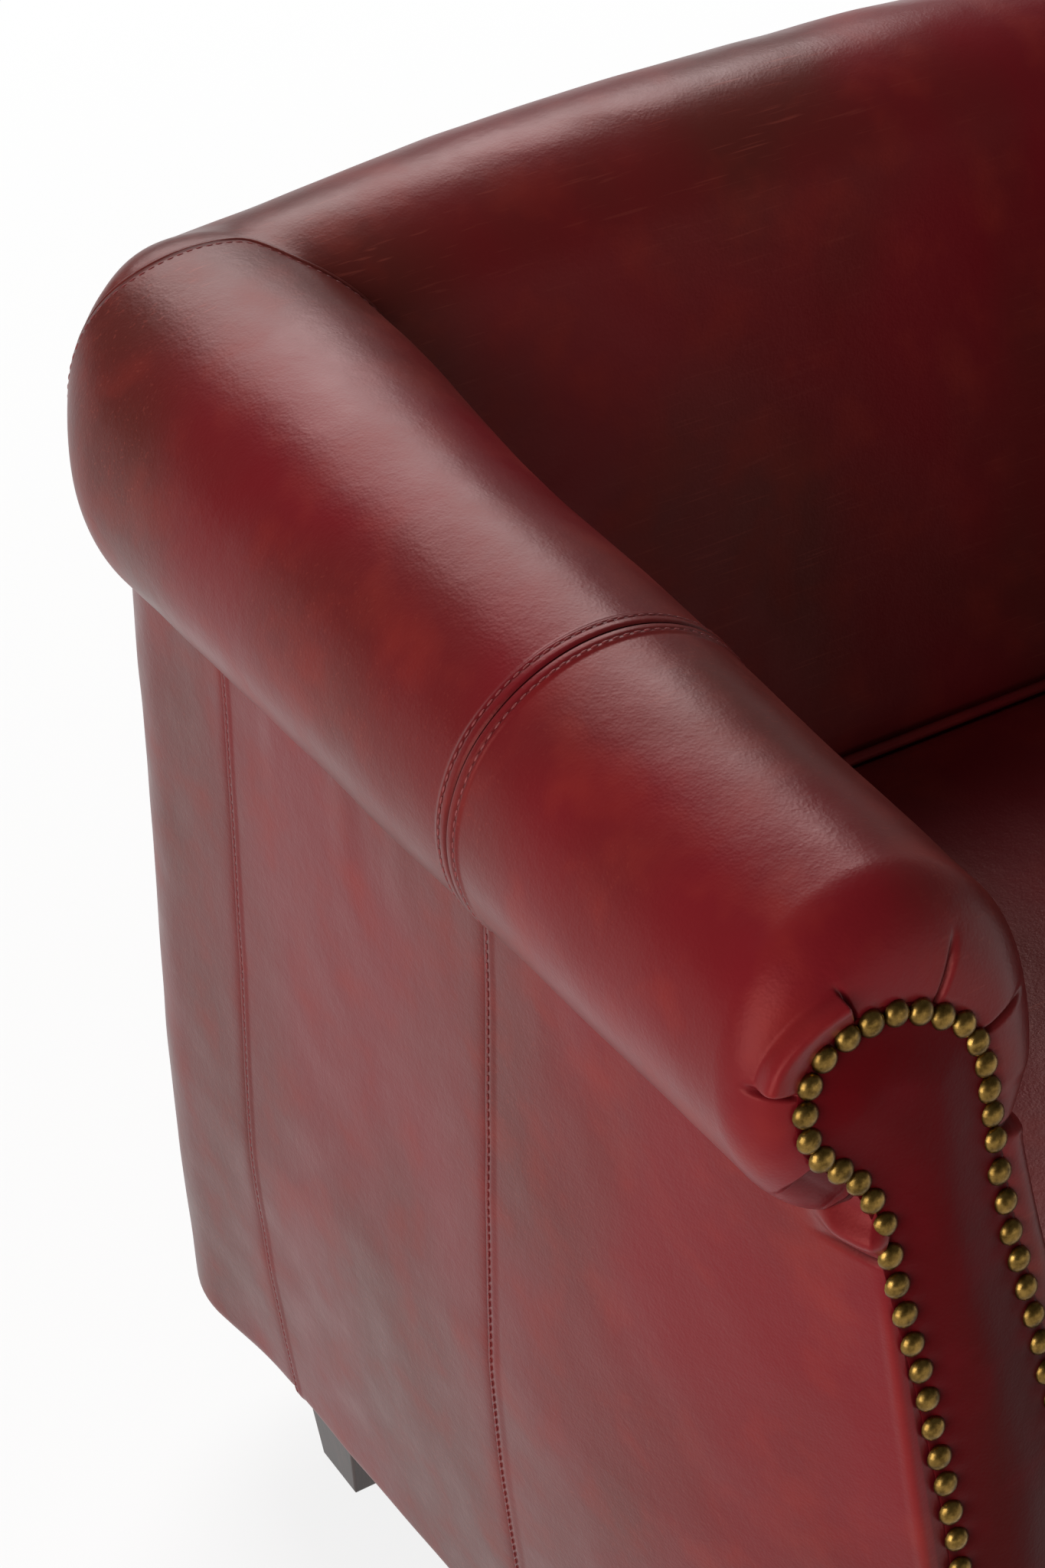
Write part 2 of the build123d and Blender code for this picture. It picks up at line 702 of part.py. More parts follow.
def make_zip():
    middle_z = (cushion_bottom_z + cushion_seam_z) / 2
    parts["zip_chain"] = block((-zip_half_length, cushion_rear_y, middle_z - zip_width / 2),
                               (zip_half_length, cushion_rear_y + zip_thickness, middle_z + zip_width / 2))
    x = -zip_half_length + slider_end_gap
    reach = zip_width / 2 + clear + slider_wall
    depth = zip_thickness + clear + slider_wall
    slider = block((x, cushion_rear_y + clear, middle_z - reach),
                   (x + slider_length, cushion_rear_y + depth, middle_z + reach))
    slot = zip_width / 2 + clear
    slider -= block((x, cushion_rear_y, middle_z - slot),
                    (x + slider_length, cushion_rear_y + zip_thickness + clear, middle_z + slot))
    pull_x = x + (slider_length - pull_width) / 2
    pull_rear_y = cushion_rear_y + depth
    slider += block((pull_x, pull_rear_y - pull_thickness, middle_z - reach - pull_length),
                    (pull_x + pull_width, pull_rear_y, middle_z - reach))
    parts["zip_slider"] = slider


make_frame()
make_webbing()
make_inside_arm_board()
make_arm_pads()
make_roll_covers()
make_back()
make_outside()
make_arm_fronts()
make_deck()
make_legs()
make_cushion()
for node, shape in parts.items():
    export_step(shape, f"parts/{node}.step")
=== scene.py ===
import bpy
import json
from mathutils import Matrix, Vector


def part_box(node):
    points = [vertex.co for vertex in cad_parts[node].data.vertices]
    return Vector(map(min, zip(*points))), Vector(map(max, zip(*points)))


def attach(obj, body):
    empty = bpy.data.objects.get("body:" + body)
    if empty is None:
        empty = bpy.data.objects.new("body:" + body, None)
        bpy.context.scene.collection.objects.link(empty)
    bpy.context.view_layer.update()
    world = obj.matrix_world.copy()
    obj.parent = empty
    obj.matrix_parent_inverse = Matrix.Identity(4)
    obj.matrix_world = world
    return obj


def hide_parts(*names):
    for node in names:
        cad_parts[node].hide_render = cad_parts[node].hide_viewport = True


bl_info = {
    "name": "Rolled-arm leather armchair",
    "version": (1, 0, 0),
    "blender": (4, 5, 0),
    "location": "3D View > Sidebar > Armchair",
    "description": "Dresses the packed armchair frame in leather, brass nails and stained wood",
    "category": "Object",
}

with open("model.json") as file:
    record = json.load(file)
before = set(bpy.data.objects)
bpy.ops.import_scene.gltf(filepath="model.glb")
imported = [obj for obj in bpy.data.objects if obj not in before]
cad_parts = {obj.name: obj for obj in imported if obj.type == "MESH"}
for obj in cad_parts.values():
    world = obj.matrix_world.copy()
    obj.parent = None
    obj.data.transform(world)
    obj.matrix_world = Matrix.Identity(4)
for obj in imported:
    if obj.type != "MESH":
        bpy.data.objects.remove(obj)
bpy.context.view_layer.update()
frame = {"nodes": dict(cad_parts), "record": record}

import itertools
import json
import math

import bmesh
import bpy
import numpy as np
from mathutils import Matrix, Vector
from mathutils.bvhtree import BVHTree

MM = 0.001
SIDES = (("left", 1), ("right", -1))
SQUARE = ((-1, -1), (1, -1), (1, 1), (-1, 1))
HIDE = ("antiqued_leather", "leather")
LEGS = ("front_left", "front_right", "rear_left", "rear_right")

# Sizes of the upholstered body in mm. An inset runs inwards from the outside panel.
HALF_WIDTH = 400.0
REAR_Y = 329.0
CORNER_R = 79.0
ROLL_CORNER_R, ROLL_CORNER_Y = 70.0, 250.0
BOW_R = 650.0
UNDERSIDE_Z = 97.0
ROLL_INSET, ROLL_Z, ROLL_R, ROLL_SWELL, ROLL_CLIMB = 59.7, 652.0, 76.7, 0.027, 0.016
MID_SEAM_Y, REAR_SEAM_Y, BACK_SEAM_Y = -56.0, 177.0, 306.0
FRONT_Y, FRONT_Z, RAKE = -268.6, 636.0, 0.20
WALL_SEAT_INSET, WALL_SEAT_Z, DECK_Z = 139.0, 440.0, 285.0
BACK_Y, BACK_Z, BACK_R = 312.4, 693.0, 68.0
BACK_INNER_Y, BACK_INNER_Z = 154.0, 430.0
EDGE_R = 16.0
BORDER_TOP_Z, BORDER_SETBACK = 268.0, 7.0
CUSHION_FRONT, CUSHION_REAR, CUSHION_HALF = -326.0, 145.95, 250.5
CUSHION_LOW, CUSHION_SEAM = 285.3, 424.3
CUSHION_REACH, CUSHION_TOP_RINGS = 232.0, 23
PIPING_R = 3.3

# Nailed edge of an arm front as (inset, z): round the head, then down each side of the stem
HEAD_OUTER = (
    (48, 676.5), (29, 672.5), (16, 663.5), (11, 650), (11, 641), (13.5, 632), (22, 622), (31, 613), (38, 601),
    (43, 587), (44.5, 574), (49, 547), (58, 498), (68, 419), (86, 112))
HEAD_INNER = (
    (48, 676.5), (66, 671.5), (80, 663), (88.6, 655), (93.2, 646), (95.2, 636), (96.5, 625), (97, 613),
    (98.5, 594), (101.2, 573), (105, 549), (109.7, 528), (115.6, 497), (126, 430), (126, 112))
HEAD_CENTRE = (54.0, 640.0)
HEAD_TOP = HEAD_OUTER[0]

# Pleats round the head: angle of each crease, its lean in degrees per mm, length and depth, and how proud the
# leather stands before each one. Between the third and the fourth it stands up as a flap.
HEAD_START, HEAD_END = -16.0, 262.0
PLEATS = (14.0, 58.0, 113.0, 160.0, 207.0, 243.0)
PLEAT_LEAN = (0.0, 0.05, 0.05, 0.1, 0.45, 0.1)
PLEAT_LENGTH = (32.0, 34.0, 22.0, 27.0, 25.0, 30.0)
PLEAT_CUT = (0.4, 0.35, 0.5, 0.75, 0.6, 1.0)
PLEAT_SWELL = (0.8, 1.2, 0.4, 7.5, -0.4, -6.5, -8.0)
FLAP = 3
# Heights: where the inside arm's leather is drawn over the roll's, and the outside panel's tuck and slit
WRAP_Z, TUCK_Z, SLIT_Z = 604.0, 582.0, 569.0

# Seams: the rows of stitches beside them, the mesh's step close to them, and how far that reaches
FELLED_ROW, PLAIN_ROW = 5.4, 3.4
SEAM_STEP, SEAM_REACH = 0.7, 11.0
STITCH_THICKNESS = 0.0011
NAIL_HEIGHT = 0.0042

# Studio: name, place, aim, width, height and power of each lamp; the camera is fitted to the photograph
LAMPS = (
    ("side", (-2.2, -0.95, 1.3), (-0.35, 0.0, 0.45), 1.6, 1.6, 48),
    ("top", (0.4, 1.85, 2.3), (-0.1, 0.0, 0.6), 1.9, 1.3, 54),
    ("front", (0.6, -2.6, 1.0), (-0.1, 0.0, 0.4), 1.4, 1.4, 2.5),
)
CAMERA_PLACE, CAMERA_BACK = (-0.996, -1.0316, 1.5147), (-0.4303, -0.6816, 0.5917)
CAMERA_LENS, CAMERA_SENSOR = 79.85, 36.0
FLOOR_HALF = 12.0


def linear(code):
    """An sRGB hex colour as linear RGBA."""
    values = [int(code[i:i + 2], 16) / 255 for i in (1, 3, 5)]
    return [v / 12.92 if v <= 0.04045 else ((v + 0.055) / 1.055) ** 2.4 for v in values] + [1.0]


def colour_setting(name, text, code):
    return bpy.props.FloatVectorProperty(
        name=name, description=text, subtype="COLOR", size=4, min=0, max=1, default=linear(code))


def length_setting(name, text, default, low, high):
    return bpy.props.FloatProperty(
        name=name, description=text, default=default, min=low, max=high, unit="LENGTH")


class LeatherSettings(bpy.types.PropertyGroup):
    """Colours of the leather and how it is worked."""

    red: colour_setting("Oxblood", "Main colour of the leather", "#68141a")
    brown: colour_setting("Antiquing", "Brown rubbed over the red", "#54201c")
    # Worn: rubbed patches, and also the colour of painted highlights on folds, the tuck and the flap
    bright: colour_setting("Worn", "Where the red is rubbed bright", "#8a2c20")
    # Creases: dye gathered in creases, and also the colour of painted shade in creases, seams, hollows and
    # slits
    dark: colour_setting("Creases", "Dye gathered in creases", "#2c0407")
    facing: colour_setting("Arm fronts", "Leather of the nailed arm fronts", "#4e060b")
    stitch_pitch: length_setting("Stitch pitch", "From one stitch to the next", 0.0052, 0.002, 0.02)
    stitch_length: length_setting("Stitch length", "Length of one stitch", 0.0038, 0.001, 0.02)
    pleat_depth: length_setting("Pleat depth", "How deep the pleats at the arm fronts are", 0.006, 0, 0.02)


class TrimSettings(bpy.types.PropertyGroup):
    """Nails, legs and cushion."""

    nail_diameter: length_setting("Nail diameter", "Across a nail's head", 0.0116, 0.004, 0.03)
    nail_pitch_scroll: length_setting(
        "Pitch round the scroll", "From nail to nail round the head of the panel", 0.0113, 0.006, 0.05)
    nail_pitch_stem: length_setting(
        "Pitch down the stem", "From nail to nail down the sides of the panel", 0.0148, 0.006, 0.05)
    brass: colour_setting("Antique brass", "Colour of the nails", "#876a36")
    wood: colour_setting("Leg stain", "Colour of the legs", "#3a2823")
    cushion_pressure: bpy.props.FloatProperty(
        name="Cushion pressure", description="How hard the cushion is filled", default=4.0, min=0, max=20)


def leather_settings():
    return bpy.context.scene.armchair_leather


def trim_settings():
    return bpy.context.scene.armchair_trim


# Nodes and materials
def plug(tree, node, values):
    """Gives each named input of a node a value or another node's output."""
    for key, value in values.items():
        if isinstance(value, bpy.types.NodeSocket):
            tree.links.new(value, node.inputs[key])
        else:
            node.inputs[key].default_value = value


def add(tree, kind, values=None, **settings):
    """Adds a node with its settings and plugs its inputs."""
    made = tree.nodes.new(kind)
    for key, value in settings.items():
        setattr(made, key, value)
    plug(tree, made, values or {})
    return made


def math_node(tree, operation, first, second):
    return add(tree, "ShaderNodeMath", {0: first, 1: second}, operation=operation).outputs[0]


def noise(tree, place, scale, detail=2.0, roughness=0.5):
    values = {"Vector": place, "Scale": scale, "Detail": detail, "Roughness": roughness}
    return add(tree, "ShaderNodeTexNoise", values).outputs["Fac"]


def cells(tree, place, scale):
    return add(tree, "ShaderNodeTexVoronoi", {"Vector": place, "Scale": scale}).outputs["Distance"]


def mapped(tree, place, **values):
    values = {key.capitalize(): value for key, value in values.items()}
    return add(tree, "ShaderNodeMapping", {"Vector": place, **values}).outputs["Vector"]


def remap(tree, value, low, high, to_low=0.0, to_high=1.0, **settings):
    values = {"Value": value, "From Min": low, "From Max": high, "To Min": to_low, "To Max": to_high}
    return add(tree, "ShaderNodeMapRange", values, **settings).outputs["Result"]


def mixed(tree, share, first, second, blend="MIX"):
    values = {0: share, 6: first, 7: second}
    return add(tree, "ShaderNodeMix", values, data_type="RGBA", blend_type=blend).outputs[2]


def relief(tree, height, strength, distance, **under):
    values = {"Strength": strength, "Distance": distance, "Height": height}
    values.update({key.capitalize(): value for key, value in under.items()})
    return add(tree, "ShaderNodeBump", values).outputs["Normal"]


def new_material(name):
    """A material, its tree, its shader and Object coordinates."""
    material = bpy.data.materials.new(name)
    material.use_nodes = True
    tree = material.node_tree
    return material, tree, tree.nodes["Principled BSDF"], add(tree, "ShaderNodeTexCoord").outputs["Object"]


def leather_material(name, main, brown, bright, dark, rough, ior, scratched):
    """Aniline-dyed cowhide, antiqued by hand and waxed: clouded red, dark in creases with dye and painted
    shade, painted highlights on folds, a satin wax film.
    """
    material, tree, shader, place = new_material(name)
    # Clouds of antiquing about 160 mm across, drawn out down the hide, and rubbed patches about 40 mm across
    cloud = remap(tree, noise(tree, mapped(tree, place, scale=(1.0, 0.8, 0.55)), 7.0), 0.38, 0.64)
    rubbed = noise(tree, place, 25.0, 3.0, 0.55)
    # Pull-up marks: pale scratches about 40 mm long and half a millimetre wide, in two directions
    marks = [noise(tree, mapped(tree, place, rotation=turn, scale=(24.0, 560.0, 560.0)), 1.0, 1.0)
             for turn in ((0.4, 0.9, 0.6), (-0.7, 0.3, 1.9))]
    scratch = remap(tree, math_node(tree, "MAXIMUM", *marks), 0.66, 0.76, 0.0, scratched)
    # The per-point value read here is painted light and antiquing: below zero it mixes in the crease colour,
    # for dye gathered in creases and for painted shade in creases, seams, hollows and slits; above zero it
    # mixes in the worn colour as painted highlights on folds and ridges
    shading_and_antiquing = add(tree, "ShaderNodeAttribute", attribute_name="shading_and_antiquing").outputs["Fac"]
    colour = main
    for share, other in (
        (cloud, brown),
        (remap(tree, rubbed, 0.5, 0.8, 0.0, 0.35), bright),
        (math_node(tree, "MULTIPLY", scratch, cloud), linear("#8c4238")),
        # Painted highlight where the per-point value is above zero
        (remap(tree, shading_and_antiquing, 0.0, 1.0, 0.0, 0.6), bright),
        # Painted shade, with dye gathered in creases, where the per-point value is below zero
        (remap(tree, shading_and_antiquing, 0.0, -1.0), dark),
    ):
        colour = mixed(tree, share, colour, other)
    # Pores and grain: real cells are about 0.5 mm, drawn at about 1.5 mm so that they show
    folds = relief(tree, noise(tree, place, 150.0, 3.0, 0.6), 0.25, 0.0007)
    plug(tree, shader, {
        "Base Color": colour, "Normal": relief(tree, cells(tree, place, 650.0), 0.16, 0.0003, normal=folds),
        "Roughness": remap(tree, rubbed, 0.3, 0.7, rough - 0.04, rough + 0.06), "IOR": ior,
        "Specular Tint": linear("#cc7a72")})
    return material


def brass_material(name, brass):
    """Drawn brass, chemically antiqued: dark in the hollows, rubbed bright on the domes."""
    material, tree, shader, place = new_material(name)
    stain = noise(tree, place, 240.0, 4.0, 0.6)
    plug(tree, shader, {
        "Base Color": mixed(tree, remap(tree, stain, 0.35, 0.68), brass, linear("#4a3717")), "Metallic": 1.0,
        "Roughness": remap(tree, stain, 0.3, 0.7, 0.24, 0.4),
        "Normal": relief(tree, noise(tree, place, 1400.0), 0.15, 0.0002)})
    return material


def wood_material(name, light, dark, rough):
    """Straight-grained hardwood: fine upright grain lines about 2.5 mm apart."""
    material, tree, shader, place = new_material(name)
    upright = mapped(tree, place, scale=(1.0, 1.0, 0.06))
    grain = noise(tree, upright, 380.0, 5.0, 0.6)
    tone = remap(tree, noise(tree, upright, 60.0, 3.0), 0.3, 0.7, 0.8, 1.1)
    colour = mixed(tree, remap(tree, grain, 0.3, 0.7), dark, light)
    plug(tree, shader, {
        "Base Color": mixed(tree, 1.0, colour, tone, "MULTIPLY"), "Roughness": rough,
        "Normal": relief(tree, grain, 0.2, 0.0004)})
    return material


def cloth_material(name, light, dark, thread):
    """Plain woven cloth: two crossed sets of threads, each that many metres thick."""
    material, tree, shader, place = new_material(name)
    values = {"Vector": place, "Scale": 0.5 / thread, "Distortion": 0.6}
    threads = [add(tree, "ShaderNodeTexWave", values, bands_direction=way).outputs["Fac"] for way in "XY"]
    weave = math_node(tree, "MULTIPLY", *threads)
    plug(tree, shader, {
        "Base Color": mixed(tree, weave, dark, light), "Roughness": 0.85,
        "Normal": relief(tree, weave, 0.4, 0.0005)})
    return material


def speckled_material(name, pattern, scale, dark, light, rough, metallic):
    """A plain stuff with a fine pattern in two near colours."""
    material, tree, shader, place = new_material(name)
    plug(tree, shader, {
        "Base Color": mixed(tree, pattern(tree, place, scale), linear(dark), linear(light)),
        "Roughness": rough, "Metallic": metallic})
    return material


def finish(name):
    """The material of that name, made the first time it is asked for."""
    found = bpy.data.materials.get(name)
    if found:
        return found
    s, t = leather_settings(), trim_settings()
    maker, *values = {
        "antiqued_leather": (leather_material, s.red, s.brown, s.bright, s.dark, 0.35, 1.42, 0.3),
        # The arm fronts' hide is darker and duller, and unscratched
        "panel_leather": (
            leather_material, s.facing, linear("#400b0b"), linear("#66101a"), s.dark, 0.38, 1.18, 0.0),
        "antiqued_brass": (brass_material, t.brass),
        # Beech, stained dark and lacquered
        "stained_beech": (wood_material, t.wood, linear("#241814"), 0.38),
        "sawn_hardwood": (wood_material, linear("#b08a5c"), linear("#8a6640"), 0.7),
        "black_lining": (cloth_material, linear("#1c1b1b"), linear("#0b0b0b"), 0.0016),
        "elastic_webbing": (cloth_material, linear("#4a453e"), linear("#26231f"), 0.003),
        # Cut polyurethane foam: pale and matt, with open cells
        "cut_foam": (speckled_material, cells, 500.0, "#cbbd97", "#e6dcc0", 0.9, 0.0),
        # Zinc-plated steel: cool grey with a faint spangle
        "zinc_plated_steel": (speckled_material, cells, 260.0, "#9a9ca0", "#b8babd", 0.42, 1.0),
        # Bonded polyester thread, dyed to the leather, with a faint twist
        "bonded_thread": (speckled_material, noise, 900.0, "#4c0c10", "#8a2c2a", 0.55, 0.0),
    }[name]
    return maker(name, *values)


# Small tools for shapes
def wander(points, size, seed):
    """Smooth random values from -1 to 1 that change over a size in mm."""
    q = np.asarray(points, dtype=float) / size
    cell = np.floor(q).astype(np.int64)
    f = q - cell
    f = f * f * (3 - 2 * f)
    total = 0
    for step in itertools.product((0, 1), repeat=3):
        h = ((cell + np.array(step)) * np.array([374761393, 668265263, 974634777])).sum(axis=-1)
        h = (h + seed * 362437) & 0xFFFFFFFF
        h = ((h ^ (h >> 13)) * 1274126177) & 0xFFFFFFFF
        x, y, z = (f[..., k] if far else 1 - f[..., k] for k, far in enumerate(step))
        total = total + ((h ^ (h >> 16)) / 2147483647.5 - 1) * (x * y) * z
    return total


def ease(t):
    t = np.clip(t, 0, 1)
    return t * t * (3 - 2 * t)


def bump(x, width):
    return np.exp(-(x / width) ** 2)


def stacked(x, y, z):
    """Points from coordinates that spread over each other."""
    return np.stack(np.broadcast_arrays(x, y, z), axis=-1).astype(float)


def grid_normals(points):
    n = np.cross(np.gradient(points, axis=0), np.gradient(points, axis=1))
    return n / np.maximum(np.linalg.norm(n, axis=2, keepdims=True), 1e-9)


def smooth_faces(mesh):
    mesh.polygons.foreach_set("use_smooth", np.ones(len(mesh.polygons), dtype=bool))
    return mesh


def grid_mesh(name, points, shading_and_antiquing=None, flip=False):
    """A smooth mesh over a grid of points in mm; a value per point gives painted shade and dye below zero,
    painted highlight above.
    """
    rows, columns = points.shape[:2]
    mesh = bpy.data.meshes.new(name)
    i, j = np.meshgrid(np.arange(rows - 1), np.arange(columns - 1), indexing="ij")
    first = i * columns + j
    quads = np.stack([first, first + columns, first + columns + 1, first + 1], axis=-1).reshape(-1, 4)
    if flip:
        quads = quads[:, ::-1]
    mesh.from_pydata((points.reshape(-1, 3) * MM).tolist(), [], quads.tolist())
    smooth_faces(mesh)
    if shading_and_antiquing is not None:
        values = shading_and_antiquing.reshape(-1).astype(np.float32)
        mesh.attributes.new("shading_and_antiquing", "FLOAT", "POINT").data.foreach_set("value", values)
    mesh.update()
    return mesh


def tube(shape, rings, closed=False):
    """Adds a tube through rings of points to a bmesh, with its ends capped or joined."""
    loops = [[shape.verts.new(p) for p in ring] for ring in rings]
    count = len(loops[0])
    for a, b in zip(loops, loops[1:] + loops[:1] if closed else loops[1:]):
        for i in range(count):
            shape.faces.new((a[i], a[(i + 1) % count], b[(i + 1) % count], b[i]))
    if not closed:
        shape.faces.new(loops[0][::-1])
        shape.faces.new(loops[-1])


def mesh_of(shape, name):
    """A mesh of a bmesh with its faces turned outwards."""
    bmesh.ops.recalc_face_normals(shape, faces=shape.faces)
    mesh = bpy.data.meshes.new(name)
    shape.to_mesh(mesh)
    shape.free()
    return mesh


def read(mesh, key):
    """A property of each vertex of a mesh as an array."""
    values = np.empty(len(mesh.vertices) * 3)
    mesh.vertices.foreach_get(key, values)
    return values.reshape(-1, 3)


def link(name, data):
    made = bpy.data.objects.new(name, data)
    bpy.context.scene.collection.objects.link(made)
    return made


def evaluated(holder):
    """A plain mesh of what an object's modifiers make."""
    return bpy.data.meshes.new_from_object(holder.evaluated_get(bpy.context.evaluated_depsgraph_get()))


def keep(name, mesh, material, slot, replaced=(), fill=None, body="chair"):
    """Makes a piece on its body with its material, and hides the nodes it stands for; its slot and fill are
    given but not used.
    """
    made = link(name, mesh)
    mesh.materials.clear()
    mesh.materials.append(finish(material))
    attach(made, body)
    if replaced:
        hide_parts(*replaced)
    return made


def both_sides(*pieces):
    """Keeps pieces of the left arm and their mirror images.

    Each piece is (name, points, crease, turned, material, slot, nodes, fill).
    """
    for side, sign in SIDES:
        for name, points, shading_and_antiquing, turned, material, slot, nodes, fill in pieces:
            mesh = grid_mesh(name + side, points * np.array([sign, 1, 1]), shading_and_antiquing, flip=(sign < 0) != turned)
            keep(name + side, mesh, material, slot, [node + side for node in nodes], fill)


def surface_tree(name):
    mesh = bpy.data.objects[name].data
    faces = [list(p.vertices) for p in mesh.polygons]
    return BVHTree.FromPolygons([v.co.copy() for v in mesh.vertices], faces)


def on_surface(name, line, out):
    """The line's points moved to the nearest place on a piece, raised by out metres."""
    tree = surface_tree(name)
    found = [tree.find_nearest(Vector(p)) for p in line]
    return np.array([tuple(hit + normal * out) for hit, normal, _, _ in found])


# Outline of the body
def front_y(z):
    """Y of the arm front's raked plane at a height."""
    return FRONT_Y - RAKE * (FRONT_Z - z)


def smooth_line(points):
    """A rounded line through points, with a point each mm."""
    p = np.array(points, dtype=float)
    ends = np.concatenate([[2 * p[0] - p[1]], p, [2 * p[-1] - p[-2]]])
    u = np.linspace(0, 1, 40, endpoint=False)[:, None]
    parts = []
    for a, b, c, d in zip(ends, ends[1:], ends[2:], ends[3:]):
        before, here, after = (np.linalg.norm(w) for w in (b - a, c - b, d - c))
        leave, arrive = (c - a) * here / (here + before), (d - b) * here / (here + after)
        parts.append((2 * u ** 3 - 3 * u ** 2 + 1) * b + (u ** 3 - 2 * u ** 2 + u) * leave
                     + (3 * u ** 2 - 2 * u ** 3) * c + (u ** 3 - u ** 2) * arrive)
    line = np.concatenate(parts + [p[-1:]])
    run = np.r_[0, np.cumsum(np.linalg.norm(np.diff(line, axis=0), axis=1))]
    even = np.arange(0, run[-1])
    return np.stack([np.interp(even, run, line[:, k]) for k in (0, 1)], axis=1)


def stem_inset(side, z, margin):
    """Inset of the nailed edge at a height on the outer or the inner side, moved outwards by a margin."""
    line = smooth_line(side)
    along = np.gradient(line, axis=0)
    along /= np.linalg.norm(along, axis=1, keepdims=True)
    out = np.stack([along[:, 1], -along[:, 0]], axis=1) * (1 if side is HEAD_OUTER else -1)
    line = line + out * margin
    return np.interp(-np.asarray(z), -line[:, 1], line[:, 0])


def head_radius(degrees, margin):
    """Distance of the nailed edge from the middle of the head at an angle."""
    line = np.concatenate([smooth_line(HEAD_INNER)[::-1], smooth_line(HEAD_OUTER)])
    off = (line - np.array(HEAD_CENTRE))[line[:, 1] > 585]
    angle = np.degrees(np.unwrap(np.arctan2(off[:, 1], off[:, 0])))
    order = np.argsort(angle)
    return np.interp(degrees, angle[order], np.hypot(off[:, 0], off[:, 1])[order]) + margin


def side_inset(y):
    """Plan of the outside panel: straight, then bowed in towards the front."""
    ahead = np.maximum(MID_SEAM_Y - y, 0)
    return BOW_R - np.sqrt(BOW_R ** 2 - ahead ** 2)


def foot_inset(z, y):
    """How far the outside panel has drawn in below its middle."""
    back = np.clip((y - MID_SEAM_Y) / (REAR_SEAM_Y - MID_SEAM_Y), 0, 1)
    ahead = np.clip((MID_SEAM_Y - y) / 310, 0, 1)
    start = 350 - 50 * back
    depth = 28 - 8 * back - 14 * ahead
    return depth * np.clip((start - z) / (start - UNDERSIDE_Z), 0, 1) ** 1.3


# Seams
def felled_seam(d):
    """Height of a pressed-open seam, stitched down on both sides, at a distance from its middle."""
    return 1 - ease((d - 6.0) / 3.0) - 0.9 * bump(d, 0.8) - 0.7 * bump(d - FELLED_ROW, 0.9)


def seam_shade(d):
    """Painted shade, with gathered dye, along a pressed-open seam and its two rows of stitches."""
    return -0.55 * bump(d, 1.0) - 0.45 * bump(d - FELLED_ROW, 1.0)


def plain_seam(d, stitched):
    """Height of a plain seam; its allowance is stitched down on one side."""
    if stitched:
        return 0.7 * (1 - ease((d - 5) / 4)) - 1.6 * bump(d, 1.0) - 0.5 * bump(d - PLAIN_ROW, 0.8)
    return -1.8 * np.exp(-d / 3.0)


def plain_shade(d):
    return -0.8 * bump(d, 1.2)


def seam_steps(length, coarse):
    """Distances from a seam: close together near it, then wider."""
    far = np.linspace(SEAM_REACH, length, max(2, int((length - SEAM_REACH) / coarse)))
    return np.concatenate([np.arange(0, SEAM_REACH, SEAM_STEP), far])


# Arm rolls
def arm_section(y, count_roll, count_wall):
    """(inset, z) of the roll and the inside arm at each y, from the tuck under the roll to the seat deck."""
    radius = ROLL_R + ROLL_SWELL * (y - MID_SEAM_Y)
    turn = np.radians(np.linspace(244, -45, count_roll))[:, None]
    s = ROLL_INSET + radius * np.cos(turn)
    z = ROLL_Z + ROLL_CLIMB * (y - MID_SEAM_Y) + radius * np.sin(turn)
    # The wall slopes to the cushion's height, then stands upright
    bend = 0.52
    t = np.linspace(0, 1, count_wall)[1:, None]
    upper = np.clip(t / bend, 0, 1)
    lower = np.clip((t - bend) / (1 - bend), 0, 1)
    s = np.concatenate([s, s[-1:] + (WALL_SEAT_INSET - s[-1:]) * upper])
    z = np.concatenate([z, z[-1:] + (WALL_SEAT_Z - z[-1:]) * upper + (DECK_Z - 2 - WALL_SEAT_Z) * lower])
    bends = (count_roll - 1, count_roll - 1 + int(bend * count_wall))
    near = np.maximum(*[ease(1.6 - np.abs(np.arange(len(s))[:, None] - b) / 14) for b in bends])
    for _ in range(24):
        for line in (s, z):
            line[1:-1] += near[1:-1] * 0.5 * ((line[:-2] + line[2:]) / 2 - line[1:-1])
    return s, z


def corner_inset(y):
    """How far the outside of the roll has turned in at a y near the rear corner."""
    past = np.clip(y - ROLL_CORNER_Y, 0, ROLL_CORNER_R - 0.5)
    return ROLL_CORNER_R - np.sqrt(ROLL_CORNER_R ** 2 - past ** 2)


def roll_angle(s, z):
    return np.degrees(np.arctan2(z - ROLL_Z - 4, s - ROLL_INSET))


def corner_share(s, z):
    """How much of the corner's turn a place on the roll takes: none on top, all of it low down outside."""
    turn = roll_angle(s, z) % 360
    return np.where(turn < 300, ease((turn - 112) / 90) + 0.16 * bump(turn - 205, 24), 0)


def fuller(turn, y):
    """How much fuller the inner shoulder of the roll is where it runs into the back, by angle and y."""
    turn = np.where(turn > 220, turn - 360, turn)
    return 7.0 * bump(turn - 38, 34) * ease((y - 100) / 130)


def roll_ripple(points):
    return 0.8 * wander(points, 70, 3) + 0.3 * wander(points, 24, 4)


def roll_rear_points():
    steps = seam_steps(BACK_SEAM_Y - MID_SEAM_Y, 3.0)
    y = MID_SEAM_Y + steps
    s, z = arm_section(y, 150, 78)
    s = s + corner_inset(y) * corner_share(s, z)
    points = stacked(s - HALF_WIDTH, y, z)
    # The last 5 mm are turned in to the seam with the back
    edge = np.maximum(5 - (BACK_SEAM_Y - y), 0)
    lift = felled_seam(steps) - 0.8 * (5 - np.sqrt(np.maximum(25 - edge ** 2, 0)))
    lift = lift + fuller(roll_angle(s, z), y) + roll_ripple(points)
    # Painted shade along the seams and where the last 5 mm turn in under the back
    shading_and_antiquing = np.minimum(seam_shade(steps), -0.9 * ease(edge / 5)) + np.zeros_like(lift)
    return points + grid_normals(points) * lift[..., None], shading_and_antiquing


